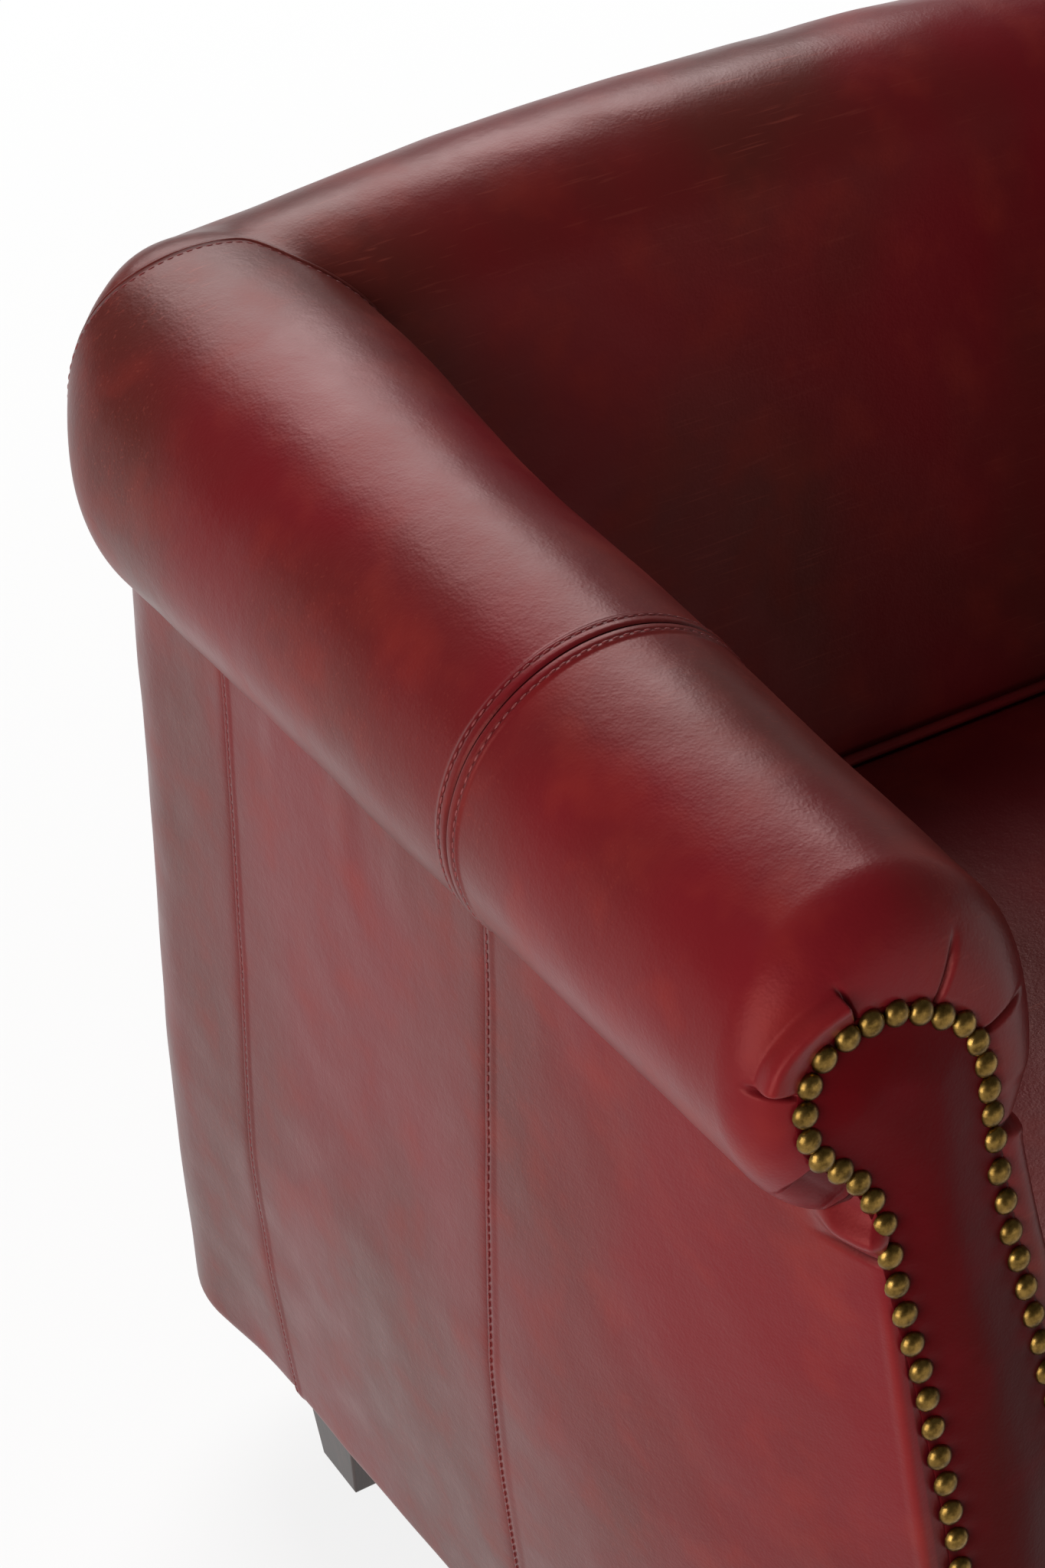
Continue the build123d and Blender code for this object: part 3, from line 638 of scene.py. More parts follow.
def roll_front_points():
    count_roll, count_wall = 460, 90
    reach = FRONT_Y + 30
    s_edge, z_edge = (line[:, 0] for line in arm_section(np.full(1, reach), count_roll, count_wall))
    angle = np.degrees(np.arctan2(z_edge - HEAD_CENTRE[1], s_edge - HEAD_CENTRE[0]))
    angle = np.where((angle < -60) & (s_edge < HEAD_CENTRE[0] + 10), angle + 360, angle)
    # Where each line of the leather meets the nails: round the head, and straight ahead below it
    head = angle > HEAD_START
    radius = head_radius(angle, 2.0)
    stem = stem_inset(HEAD_INNER, z_edge, 2.0)
    join = ease((angle - HEAD_START) / 22)
    b_s = join * (HEAD_CENTRE[0] + radius * np.cos(np.radians(angle))) + (1 - join) * stem
    b_z = join * (HEAD_CENTRE[1] + radius * np.sin(np.radians(angle))) + (1 - join) * z_edge
    b_s, b_z = np.where(head, b_s, stem), np.where(head, b_z, z_edge)
    b_y = front_y(b_z) + 0.2
    y_edge = front_y(z_edge) + 17.0 + 9.0 * ease((angle - HEAD_START) / 30)
    lengths = seam_steps(MID_SEAM_Y - y_edge.mean(), 3.2)
    y_len = MID_SEAM_Y + lengths / lengths[-1] * (y_edge - MID_SEAM_Y)[:, None]
    # The section at each y: the edge section moved along the roll's taper, the wall below less and less
    size = ROLL_R + ROLL_SWELL * (y_len - MID_SEAM_Y)
    ratio = size / size[:, -1:]
    shift = ROLL_CLIMB * (y_len - y_len[:, -1:])
    centre = ROLL_Z + ROLL_CLIMB * (reach - MID_SEAM_Y)
    row = np.arange(len(s_edge))[:, None]
    fade = np.clip((row - count_roll) / 30, 0, 1)

    def carried(moved, edge):
        drift = (moved[count_roll - 1] - edge[count_roll - 1]) * (1 - fade)
        return np.where(row < count_roll, moved, edge[:, None] + drift)

    s_len = carried(ROLL_INSET + (s_edge[:, None] - ROLL_INSET) * ratio, s_edge)
    z_len = carried(centre + shift + (z_edge[:, None] - centre) * ratio, z_edge)
    # Then round the front edge to the nails
    turn = np.radians(np.linspace(0, 90, 44))[1:]
    s = np.concatenate([s_len, s_edge[:, None] + (b_s - s_edge)[:, None] * (1 - np.cos(turn))], axis=1)
    z = np.concatenate([z_len, z_edge[:, None] + (b_z - z_edge)[:, None] * (1 - np.cos(turn))], axis=1)
    y = np.concatenate([y_len, y_edge[:, None] + (b_y - y_edge)[:, None] * np.sin(turn)], axis=1)
    points = stacked(s - HALF_WIDTH, y, z)
    # q is the distance back from the nails over the leather
    gaps = np.linalg.norm(np.diff(points, axis=1), axis=2)
    q = np.concatenate([np.cumsum(gaps[:, ::-1], axis=1)[:, ::-1], np.zeros((len(s), 1))], axis=1)
    rise = ease(q / 7) * (1 - ease((q - 16) / 20))
    flap = np.clip(q / 12, 0, 1) ** 1.2 * (1 - ease((q - 13) / 7))
    hollow = ease((q + 4) / 8) * (1 - ease((q - 12) / 18))
    deg = angle[:, None] - np.interp(angle, PLEATS, PLEAT_LEAN)[:, None] * (q - 10)
    marks = np.array((HEAD_START,) + PLEATS + (HEAD_END,))
    part = np.clip(np.searchsorted(marks, deg) - 1, 0, len(PLEAT_SWELL) - 1)
    room = np.minimum(deg - marks[part], marks[part + 1] - deg)
    plain = ease((room + 1.0) / 5.0) * np.where(part > FLAP + 1, hollow, rise)
    swell = np.array(PLEAT_SWELL)[part] * np.where(part == FLAP, ease((room + 0.3) / 2.2) * flap, plain)
    swell = np.where(head[:, None], swell, 0)
    cuts = np.zeros_like(q)
    for mark, length, cut in zip(PLEATS, PLEAT_LENGTH, PLEAT_CUT):
        fold = ease((q + 1.5) / 5) * (1 - ease((q - 0.45 * length) / (0.55 * length)))
        cuts += cut * fold * bump(np.radians(deg - mark) * (40 + 0.6 * q), 1.0 + 0.01 * q)
    cuts = np.where(head[:, None], np.minimum(cuts, 1), 0)
    # The inside arm's leather is drawn to the nails over the end of the roll's
    inner = (s_edge > 80)[:, None]
    below = (WRAP_Z - z_edge)[:, None]
    drawn = 6.5 * ease(np.where(inner, below, 0) / 6) * ease(q / 12) * (1 - ease((q - 16) / 24))
    step = bump(below, 1.6) * inner * ease((q + 1.5) / 5) * (1 - ease((q - 15) / 19))
    depth = leather_settings().pleat_depth / MM
    lift = swell - depth * cuts + drawn - 2.0 * step + roll_ripple(points) * ease(q / 6)
    lift[:, :len(lengths)] += felled_seam(lengths)
    # Painted light: a faint painted highlight where the leather stands proud, painted shade in the hollows
    # towards the neck, painted shade with dye in the pleats' creases, and painted shade along the step where
    # the inside arm's leather is drawn over
    shading_and_antiquing = np.where(swell > 0, 0.015, 0.10) * swell - cuts - 0.8 * step
    shading_and_antiquing[:, :len(lengths)] += seam_shade(lengths)
    return points - grid_normals(points) * lift[..., None], np.clip(shading_and_antiquing, -1, 1)


class ARMCHAIR_OT_arm_rolls(bpy.types.Operator):
    """Leather over the arm rolls and the inside arms, with pleats at the fronts"""

    bl_idname = "armchair.arm_rolls"
    bl_label = "Arm rolls"

    def execute(self, context):
        both_sides(
            ("roll_rear_leather_", *roll_rear_points(), False, *HIDE, ("roll_cover_rear_", "arm_pad_"), 0.9),
            ("roll_front_leather_", *roll_front_points(), True, *HIDE, ("roll_cover_front_",), 0.9))
        return {"FINISHED"}


# Outside panels
def panel_rows():
    """(z, inset) of each row of an outside panel, from under the roll to the turned-under foot."""
    foot = UNDERSIDE_Z + EDGE_R
    a = np.linspace(0, math.pi / 2, 12)[1:]
    under = np.array([6.0, 13.0, 21.0, 30.0, 38.0])
    z = np.concatenate([
        np.linspace(612, 556, 46), np.linspace(553, foot, 112), foot - (EDGE_R - 0.5) * np.sin(a),
        np.full(len(under), UNDERSIDE_Z + 0.5)])
    drop = np.concatenate([EDGE_R * (1 - np.cos(a)), EDGE_R + under])
    return z[:, None], np.r_[np.zeros(len(z) - len(drop)), drop][:, None]


def panel_lift(points, z):
    folds = wander(points * np.array([1.0, 1.0, 0.22]), 16, 11)
    return 1.2 * wander(points, 110, 7) + 0.35 * wander(points, 30, 8) + 0.45 * ease((z - 500) / 100) * folds


def panel_front_points():
    z, drop = panel_rows()
    front = front_y(z)
    steps = seam_steps(200, 3.4)
    corner_y = front + 7
    y_side = MID_SEAM_Y + steps / steps[-1] * (corner_y - MID_SEAM_Y)
    s_side = side_inset(y_side) + foot_inset(z, y_side) + drop
    # Round the front corner and in to the nails
    tip_s = side_inset(front) + foot_inset(z, front) + drop
    end_s = np.maximum(stem_inset(HEAD_OUTER, np.minimum(z, 594), 2.0), tip_s + 2.0)
    in_s = tip_s + np.minimum(5.0, 0.8 * (end_s - tip_s))
    t = np.linspace(0, 1, 16)[1:]
    s_turn = (1 - t) ** 2 * s_side[:, -1:] + 2 * t * (1 - t) * tip_s + t * t * in_s
    y_turn = (1 - t) ** 2 * corner_y + 2 * t * (1 - t) * front + t * t * (front - 0.3)
    t = np.linspace(0, 1, 7)[1:]
    s = np.concatenate([s_side, s_turn, in_s + t * (end_s - in_s)], axis=1)
    y = np.concatenate([y_side, y_turn, front - 0.3 + t * 0.8], axis=1)
    points = stacked(s - HALF_WIDTH, y, z)
    n_side, n_turn, n_in = len(steps), s_turn.shape[1], len(t)
    lift = panel_lift(points, z)
    lift[:, :n_side] += plain_seam(steps, True)
    shading_and_antiquing = np.zeros_like(lift)
    shading_and_antiquing[:, :n_side] += plain_shade(steps)
    settle = np.ones(s.shape[1])
    settle[-12:] = np.linspace(1, 0, 12)
    # A tuck of leather stands out below the end of the roll, where the panel is drawn round to the nails
    near_front = ease((front + 34 - y) / 22)
    tuck = bump(z - TUCK_Z, 7.0) * near_front
    slit = bump(z - SLIT_Z, 1.9) * near_front
    lift = lift * settle + (8.0 * tuck - 2.5 * slit) * np.maximum(settle, 0.5)
    # Below it the leather folds crisply, with a painted highlight along the fold, and the strip between fold
    # and nails is painted darker as shade
    fold = np.zeros(s.shape[1])
    fold[n_side:n_side + n_turn] = np.sin(np.linspace(0, math.pi, n_turn)) ** 2
    fold = fold * (1 - ease((z - 535) / 25))
    # A faint painted highlight on the tuck and painted shadow in the slit below it
    shading_and_antiquing += 0.3 * fold - 0.9 * slit + 0.12 * tuck
    shading_and_antiquing[:, -n_in:] -= 0.4
    return points + grid_normals(points) * (lift + 1.2 * fold)[..., None], shading_and_antiquing


def panel_rear_points():
    z, drop = panel_rows()
    half = seam_steps((REAR_SEAM_Y - MID_SEAM_Y) / 2, 3.4)
    y = np.concatenate([MID_SEAM_Y + half, (REAR_SEAM_Y - half)[::-1][1:]])
    points = stacked(side_inset(y) + foot_inset(z, y) + drop - HALF_WIDTH, y, z)
    near, far = y - MID_SEAM_Y, REAR_SEAM_Y - y
    lift = panel_lift(points, z) + plain_seam(near, False) + plain_seam(far, True)
    shading_and_antiquing = plain_shade(near) + plain_shade(far) + np.zeros_like(lift)
    return points - grid_normals(points) * lift[..., None], shading_and_antiquing


def panel_back_points():
    z, drop = panel_rows()
    first = seam_steps(REAR_Y - CORNER_R - REAR_SEAM_Y, 4.5)
    a = np.linspace(0, math.pi / 2, 22)[1:]
    across = np.linspace(0, HALF_WIDTH - CORNER_R, 78)[1:]
    side, corner, back = (np.zeros(len(part)) for part in (first, a, across))
    # The foot is drawn in less and less from the seam to the corner
    gone = np.concatenate([first, first[-1] + CORNER_R * a, back + 999.0])
    inset = foot_inset(z, np.full(len(gone), REAR_SEAM_Y)) * (1 - 0.72 * ease(gone / 135)) + drop
    s = np.concatenate([side, CORNER_R * (1 - np.cos(a)), CORNER_R + across])
    y = np.concatenate([REAR_SEAM_Y + first, REAR_Y - CORNER_R + CORNER_R * np.sin(a), back + REAR_Y])
    s = s + np.concatenate([side + 1, np.cos(a), back]) * inset
    y = y - np.concatenate([side, np.sin(a), back + 1]) * inset
    top = ease((z - 560) / 60) * np.concatenate([side, corner, ease(across / 80)])
    left = stacked(s - HALF_WIDTH, y, z + 30 * top)
    points = np.concatenate([left, (left * np.array([-1, 1, 1]))[:, ::-1][:, 1:]], axis=1)
    d = np.concatenate([first, corner + 99.0, back + 99.0])
    d = np.concatenate([d, d[::-1][1:]])
    lift = panel_lift(points, z) + plain_seam(d, False)
    return points - grid_normals(points) * lift[..., None], plain_shade(d) + np.zeros_like(lift)


class ARMCHAIR_OT_outside_panels(bpy.types.Operator):
    """Leather of the outside arms and the outside back"""

    bl_idname = "armchair.outside_panels"
    bl_label = "Outside panels"

    def execute(self, context):
        nodes = ("outside_arm_front_", "outside_arm_pad_")
        both_sides(("outside_front_leather_", *panel_front_points(), False, *HIDE, nodes, 0.95))
        both_sides(("outside_rear_leather_", *panel_rear_points(), True, *HIDE, ("outside_arm_rear_",), 0.95))
        name = "outside_back_leather"
        nodes = ("outside_back_cover", "outside_back_pad")
        keep(name, grid_mesh(name, *panel_back_points(), flip=True), *HIDE, nodes, 0.95)
        return {"FINISHED"}


# Arm fronts
def on_front(s, z, out):
    """A place on the left arm's front plane, raised towards the viewer by out mm."""
    k = math.hypot(1, RAKE)
    return np.stack([s - HALF_WIDTH, front_y(z) - out / k, z + out * RAKE / k], axis=-1)


def facing_points():
    margin = 3.6
    rise = HEAD_TOP[1] + margin - HEAD_CENTRE[1]
    a = np.linspace(0, math.pi / 2, 44)
    z = np.concatenate([HEAD_CENTRE[1] + rise * np.cos(a), np.linspace(HEAD_CENTRE[1], 99, 222)[1:]])
    left, right = (stem_inset(side, z, margin) for side in (HEAD_OUTER, HEAD_INNER))
    left[0] = right[0] = HEAD_TOP[0]
    t = (1 - np.cos(np.linspace(0, math.pi, 48))) / 2
    s = left[:, None] + (right - left)[:, None] * t
    zz = np.broadcast_to(z[:, None], s.shape)
    # Distance in from the panel's edge
    outline = np.concatenate([np.stack([left, z], axis=1)[::-1], np.stack([right, z], axis=1)])
    edge = np.full(s.shape, 99.0)
    for p in outline[::2]:
        edge = np.minimum(edge, np.hypot(s - p[0], zz - p[1]))
    edge[:, 0] = edge[:, -1] = 0
    out = 0.2 + 1.5 * (1 - np.exp(-edge / 1.6)) + 5.0 * ease((edge - 4) / 28) - 0.9 * bump(edge - margin, 2.6)
    # Puckers between the nails, at their pitch
    pitch = trim_settings().nail_pitch_stem / MM
    pucker = np.sin(zz / pitch * 2 * np.pi) * bump(edge - 9, 4.5) * (zz < 590)
    out = out + 0.35 * pucker + 0.4 * wander(stacked(s, 0, zz), 45, 21)
    # Painted shade where the leather dips to the nails and in the puckers' hollows
    shading_and_antiquing = -0.8 * bump(edge - margin, 2.0) - 0.25 * np.clip(-pucker, 0, 1)
    # The lower end is turned under the arm
    under = on_front(s[-1:], zz[-1:] - 1.2, np.full((1, s.shape[1]), -14.0))
    return np.concatenate([on_front(s, zz, out), under]), np.concatenate([shading_and_antiquing, shading_and_antiquing[-1:]])


def return_points():
    """Leather beside the arm front panel, turned in to the front border of the seat."""
    z = np.linspace(296, 98, 90)[:, None]
    start = stem_inset(HEAD_INNER, z, 1.0)
    t = np.linspace(0, 1, 14)
    s = start + (141.0 - start) * np.clip(t / 0.7, 0, 1)
    y = front_y(z) + (0.4 + 13.0 * np.clip((t - 0.5) / 0.5, 0, 1) ** 1.4)
    points = stacked(s - HALF_WIDTH, y, z)
    points[..., 1] -= 1.2 * bump(t - 0.4, 0.25) + 0.3 * ease((t - 0.45) / 0.4) * wander(points, 20, 23)
    return points, np.zeros(points.shape[:2])


class ARMCHAIR_OT_arm_fronts(bpy.types.Operator):
    """Keyhole leather panels on the arm fronts, and the leather beside them"""

    bl_idname = "armchair.arm_fronts"
    bl_label = "Arm fronts"

    def execute(self, context):
        both_sides(
            ("arm_front_leather_", *facing_points(), False, "panel_leather", "facing_leather",
             ("arm_facing_",), 0.8),
            ("arm_return_leather_", *return_points(), False, "antiqued_leather", "leather", (), None))
        return {"FINISHED"}


# Rows of nails and stitches
def row_start(name, sizes):
    """A tree with its inputs, and points along its curve at a pitch."""
    tree = bpy.data.node_groups.new(name, "GeometryNodeTree")
    for socket, way, kind in (
        ("Geometry", "INPUT", "Geometry"), *((size, "INPUT", "Float") for size in sizes),
        ("Material", "INPUT", "Material"), ("Geometry", "OUTPUT", "Geometry"),
    ):
        tree.interface.new_socket(socket, in_out=way, socket_type="NodeSocket" + kind)
    given = add(tree, "NodeGroupInput").outputs
    values = {"Curve": given["Geometry"], "Length": given["Pitch"]}
    return tree, given, add(tree, "GeometryNodeCurveToPoints", values, mode="LENGTH").outputs


def row_bead(tree, segments, rings, x, y, z):
    """A ball stretched to the three sizes."""
    ball = add(tree, "GeometryNodeMeshUVSphere", {"Segments": segments, "Rings": rings, "Radius": 0.5})
    size = add(tree, "ShaderNodeCombineXYZ", {"X": x, "Y": y, "Z": z}).outputs[0]
    values = {"Geometry": ball.outputs["Mesh"], "Scale": size}
    return add(tree, "GeometryNodeTransform", values).outputs["Geometry"]


def row_end(tree, given, values):
    """Puts the beads on the points as one smooth, painted mesh."""
    made = add(tree, "GeometryNodeInstanceOnPoints", values).outputs["Instances"]
    made = add(tree, "GeometryNodeRealizeInstances", {"Geometry": made}).outputs["Geometry"]
    made = add(tree, "GeometryNodeSetShadeSmooth", {"Geometry": made}).outputs["Geometry"]
    values = {"Geometry": made, "Material": given["Material"]}
    made = add(tree, "GeometryNodeSetMaterial", values).outputs["Geometry"]
    add(tree, "NodeGroupOutput", {"Geometry": made})
    return tree


def nail_tree():
    """Domed nails along a flat curve, placed and sized a little at random."""
    tree, given, dots = row_start("nail_tree", ("Pitch", "Diameter", "Height"))
    double = math_node(tree, "MULTIPLY", given["Height"], 2.0)
    dome = row_bead(tree, 16, 12, given["Diameter"], given["Diameter"], double)
    size = add(tree, "FunctionNodeRandomValue", {2: 0.965, 3: 1.035, "Seed": 5}, data_type="FLOAT")
    values = {0: (-0.0004, -0.0004, 0), 1: (0.0004, 0.0004, 0), "Seed": 9}
    stray = add(tree, "FunctionNodeRandomValue", values, data_type="FLOAT_VECTOR")
    values = {"Geometry": dots["Points"], "Offset": stray.outputs[0]}
    by_hand = add(tree, "GeometryNodeSetPosition", values).outputs["Geometry"]
    return row_end(tree, given, {"Points": by_hand, "Instance": dome, "Scale": size.outputs[1]})


def stitch_tree():
    """Short rounded stitches laid along a curve."""
    tree, given, dots = row_start("stitch_tree", ("Pitch", "Length", "Thickness"))
    bead = row_bead(tree, 6, 5, given["Thickness"], given["Thickness"], given["Length"])
    return row_end(tree, given, {"Points": dots["Points"], "Instance": bead, "Rotation": dots["Rotation"]})


def run_tree(name, maker, lines, values):
    """A plain mesh of what the tree makes along the lines, each a list of points in metres."""
    tree = bpy.data.node_groups.get(maker.__name__) or maker()
    curve = bpy.data.curves.new(name, "CURVE")
    curve.dimensions = "3D"
    for line in lines:
        spline = curve.splines.new("POLY")
        spline.points.add(len(line) - 1)
        spline.points.foreach_set("co", np.c_[np.asarray(line), np.ones(len(line))].reshape(-1))
    holder = link(name + "_line", curve)
    modifier = holder.modifiers.new("made", "NODES")
    modifier.node_group = tree
    for item in tree.interface.items_tree:
        if item.in_out == "INPUT" and item.name in values:
            modifier[item.identifier] = values[item.name]
    mesh = evaluated(holder)
    holder.modifiers.remove(modifier)
    bpy.data.objects.remove(holder)
    bpy.data.curves.remove(curve)
    mesh.name = name
    return mesh


def stitched(name, lines):
    """Keeps rows of stitches along the lines as a piece."""
    s = leather_settings()
    mesh = run_tree(name, stitch_tree, lines, {
        "Pitch": s.stitch_pitch, "Length": s.stitch_length, "Thickness": STITCH_THICKNESS,
        "Material": finish("bonded_thread")})
    keep(name, mesh, "bonded_thread", "leather")


def nail_lines():
    """The nailed edge on the front plane in metres: round the head, then the two sides of the stem."""
    inner, outer = smooth_line(HEAD_INNER), smooth_line(HEAD_OUTER)
    head = np.concatenate([inner[inner[:, 1] > 614][::-1], outer[outer[:, 1] > 600][1:]])
    return [stacked(run[:, 0] - HALF_WIDTH, (run[:, 1] - FRONT_Z) * math.hypot(1, RAKE), 0) * MM
            for run in (head, inner[inner[:, 1] < 603], outer[outer[:, 1] < 588])]


class ARMCHAIR_OT_nails(bpy.types.Operator):
    """Domed brass nails round the arm fronts"""

    bl_idname = "armchair.nails"
    bl_label = "Nails"

    def execute(self, context):
        t = trim_settings()
        scroll, *stems = nail_lines()
        joined = bmesh.new()
        rows = (("scroll", [scroll], t.nail_pitch_scroll), ("stems", stems, t.nail_pitch_stem))
        for name, lines, pitch in rows:
            joined.from_mesh(run_tree(name, nail_tree, lines, {
                "Pitch": pitch, "Diameter": t.nail_diameter, "Height": NAIL_HEIGHT,
                "Material": finish("antiqued_brass")}))
        # Only the domes are kept, and are set on the raked plane 1 mm proud
        bmesh.ops.delete(joined, geom=[v for v in joined.verts if v.co.z < -0.0009], context="VERTS")
        out, up = Vector((0, -1, RAKE)).normalized(), Vector((0, RAKE, 1)).normalized()
        seat = Matrix((
            (1, up[0], out[0], 0), (0, up[1], out[1], FRONT_Y * MM), (0, up[2], out[2], FRONT_Z * MM),
            (0, 0, 0, 1)))
        bmesh.ops.transform(joined, matrix=seat @ Matrix.Translation((0, 0, 0.0010)), verts=joined.verts)
        for side, sign in SIDES:
            if sign < 0:
                bmesh.ops.scale(joined, vec=(-1, 1, 1), verts=joined.verts)
                bmesh.ops.reverse_faces(joined, faces=joined.faces)
            mesh = bpy.data.meshes.new("arm_nails_" + side)
            joined.to_mesh(mesh)
            keep(mesh.name, smooth_faces(mesh), "antiqued_brass", "antique_brass", ["facing_nails_" + side])
        joined.free()
        return {"FINISHED"}


# Back
def back_top(s):
    """Height of the rolled top's middle and its radius at an inset; both fall towards the arms."""
    fall = max((330 - s) / 250, 0) ** 1.45
    return BACK_Z - 1.5 - 15 * fall, BACK_R - 1.0 - 5 * fall


def back_body():
    """The back as overlapping closed forms: rolled top, corners behind the arm rolls, inside pad."""
    shape = bmesh.new()
    turn = np.linspace(0, 2 * math.pi, 72, endpoint=False)
    away = np.degrees(turn)
    rings = []
    end_round = 24.0
    for x in np.linspace(-359.5, 359.5, 150):
        s = HALF_WIDTH - abs(x)
        z, r = back_top(s)
        if s < 64:
            r -= end_round - math.sqrt(max(end_round ** 2 - (64 - s) ** 2, 0))
        rings.append(stacked(x, BACK_Y + r * np.cos(turn), z + r * np.sin(turn)) * MM)
    tube(shape, rings)
    middle = ROLL_Z + ROLL_CLIMB * (BACK_SEAM_Y - MID_SEAM_Y)
    # Behind the seam the outside falls away at once, the inside stays full and runs into the rolled top
    power = 2.6 - 1.3 * ease((away - 90) / 45) * (1 - ease((away - 325) / 30))
    for sign in (-1, 1):
        rings = []
        for t in np.concatenate([np.linspace(-0.8, 0, 10)[:-1], np.linspace(0, 0.985, 30)]):
            y = BACK_SEAM_Y + 44 * t
            seam_y = min(y, BACK_SEAM_Y)
            full = ROLL_R + ROLL_SWELL * (seam_y - MID_SEAM_Y) - (2.2 if t < -0.05 else 0.2)
            full = full + fuller(away, y) * (1 - ease(t))
            s = ROLL_INSET + full * np.cos(turn)
            z = middle + full * np.sin(turn)
            s = s + corner_inset(seam_y) * corner_share(s, z)
            r = (1 - max(t, 0) ** power) ** (1 / power)
            s, z = ROLL_INSET + (s - ROLL_INSET) * r, middle + (z - middle) * r
            rings.append(stacked(sign * (HALF_WIDTH - s), y, z) * MM)
        tube(shape, rings)
    rings = []
    for x in np.linspace(-283, 283, 90):
        # The pad's face leans back from the seat until it touches the rolled top
        z, r = back_top(HALF_WIDTH - abs(x))
        across, up = BACK_Y - BACK_INNER_Y, z - BACK_INNER_Z
        reach = math.hypot(across, up)
        lean = math.atan2(across, up) - math.asin(r / reach)
        run = math.sqrt(reach ** 2 - r ** 2)
        touch = (BACK_INNER_Y + run * math.sin(lean), BACK_INNER_Z + run * math.cos(lean))
        ring = [(BACK_INNER_Y + 0.3, DECK_Z + 1), (BACK_INNER_Y, BACK_INNER_Z), touch, (BACK_Y, z),
                (BACK_INNER_Y + 60, BACK_INNER_Z), (BACK_INNER_Y + 56, DECK_Z + 1)]
        rings.append([(x * MM, a * MM, b * MM) for a, b in ring])
    tube(shape, rings)
    return mesh_of(shape, "back_form")


def remeshed(mesh, voxel, smoothing):
    """The mesh made one skin with even faces, then eased."""
    holder = link("form", mesh)
    remesh = holder.modifiers.new("skin", "REMESH")
    remesh.mode = "VOXEL"
    remesh.voxel_size = voxel
    smooth = holder.modifiers.new("ease", "SMOOTH")
    smooth.factor = 0.5
    smooth.iterations = smoothing
    made = evaluated(holder)
    bpy.data.objects.remove(holder)
    return smooth_faces(made)


def back_seam(points, tree):
    """Where the roll's leather dives under the back's, row by row, in metres."""
    seam = []
    for line in points[6:-40]:
        found, last = Vector(line[-1] * MM), None
        for p in line[40:]:
            here = Vector(p * MM)
            hit, normal, _, _ = tree.find_nearest(here)
            depth = (here - hit).dot(normal)
            if depth < 0 and last is not None:
                before, high = last
                found = before + (here - before) * (high / (high - depth))
                break
            last = (here, depth)
        seam.append(tuple(found))
    return np.array(seam)


def calmed(line):
    """A line of points with its small bends taken out."""
    line = line.copy()
    for _ in range(8):
        line[1:-1] = 0.5 * line[1:-1] + 0.25 * (line[:-2] + line[2:])
    return line


def cord_rings(line, radius):
    """Rings of points round a line, all in metres."""
    along = np.gradient(line, axis=0)
    along /= np.linalg.norm(along, axis=1, keepdims=True)
    side = np.cross(along, np.array([0.31, 0.11, 0.94]))
    side /= np.linalg.norm(side, axis=1, keepdims=True)
    other = np.cross(along, side)
    turn = np.linspace(0, 2 * math.pi, 10, endpoint=False)[:, None]
    return [p + radius * (np.cos(turn) * u + np.sin(turn) * v) for p, u, v in zip(line, side, other)]


class ARMCHAIR_OT_back(bpy.types.Operator):
    """Leather of the inside back, its rolled top and rear corners, with the seams to the arm rolls"""

    bl_idname = "armchair.back"
    bl_label = "Back"

    def execute(self, context):
        mesh = remeshed(back_body(), 0.0045, 22)
        place = read(mesh, "co")
        lift = 1.0 * wander(place / MM, 90, 31) + 0.3 * wander(place / MM, 26, 32)
        shaped = place + read(mesh, "normal") * lift[:, None] * MM
        mesh.vertices.foreach_set("co", shaped.reshape(-1))
        mesh.update()
        keep("back_leather", mesh, "antiqued_leather", "leather", ("back_cover", "back_pad"), 0.85)
        seam = back_seam(roll_rear_points()[0], surface_tree("back_leather"))
        row = calmed(seam + np.array([0, -0.0042, 0]))
        seam = calmed(seam)
        for side, sign in SIDES:
            turned = np.array([sign, 1, 1])
            shape = bmesh.new()
            tube(shape, cord_rings(seam * turned, 0.0017))
            lip = "back_seam_lip_" + side
            keep(lip, smooth_faces(mesh_of(shape, lip)), "antiqued_leather", "leather")
            line = on_surface("roll_rear_leather_" + side, row * turned, -0.0001)
            stitched("back_seam_stitches_" + side, [line])
        return {"FINISHED"}


# Seat
def cushion_outline(inset):
    """Rounded rectangle with front and sides drawn in, as 150 (x, y) points in mm."""
    half = CUSHION_HALF - inset
    front, rear = CUSHION_FRONT + inset, CUSHION_REAR - inset
    r = max(26 - inset, 4)
    dense = []
    for cx, cy, start in ((half - r, front + r, -90), (half - r, rear - r, 0), (-half + r, rear - r, 90),
                          (-half + r, front + r, 180)):
        for a in np.radians(np.linspace(start, start + 90, 16)):
            dense.append((cx + r * math.cos(a), cy + r * math.sin(a)))
    dense = np.array(dense + dense[:1])
    lengths = np.r_[0, np.cumsum(np.hypot(*np.diff(dense, axis=0).T))]
    t = np.linspace(0, lengths[-1], 150, endpoint=False)
    x, y = (np.interp(t, lengths, dense[:, k]) for k in (0, 1))
    draw = 6 * (1 - ((y - (front + rear) / 2) / ((rear - front) / 2)) ** 2)
    x = np.where(np.abs(x) > half - 2, x - np.sign(x) * np.maximum(draw, 0), x)
    y = np.where(y < front + 2, y + 5 * np.maximum(1 - (x / half) ** 2, 0), y)
    return np.stack([x, y], axis=1)


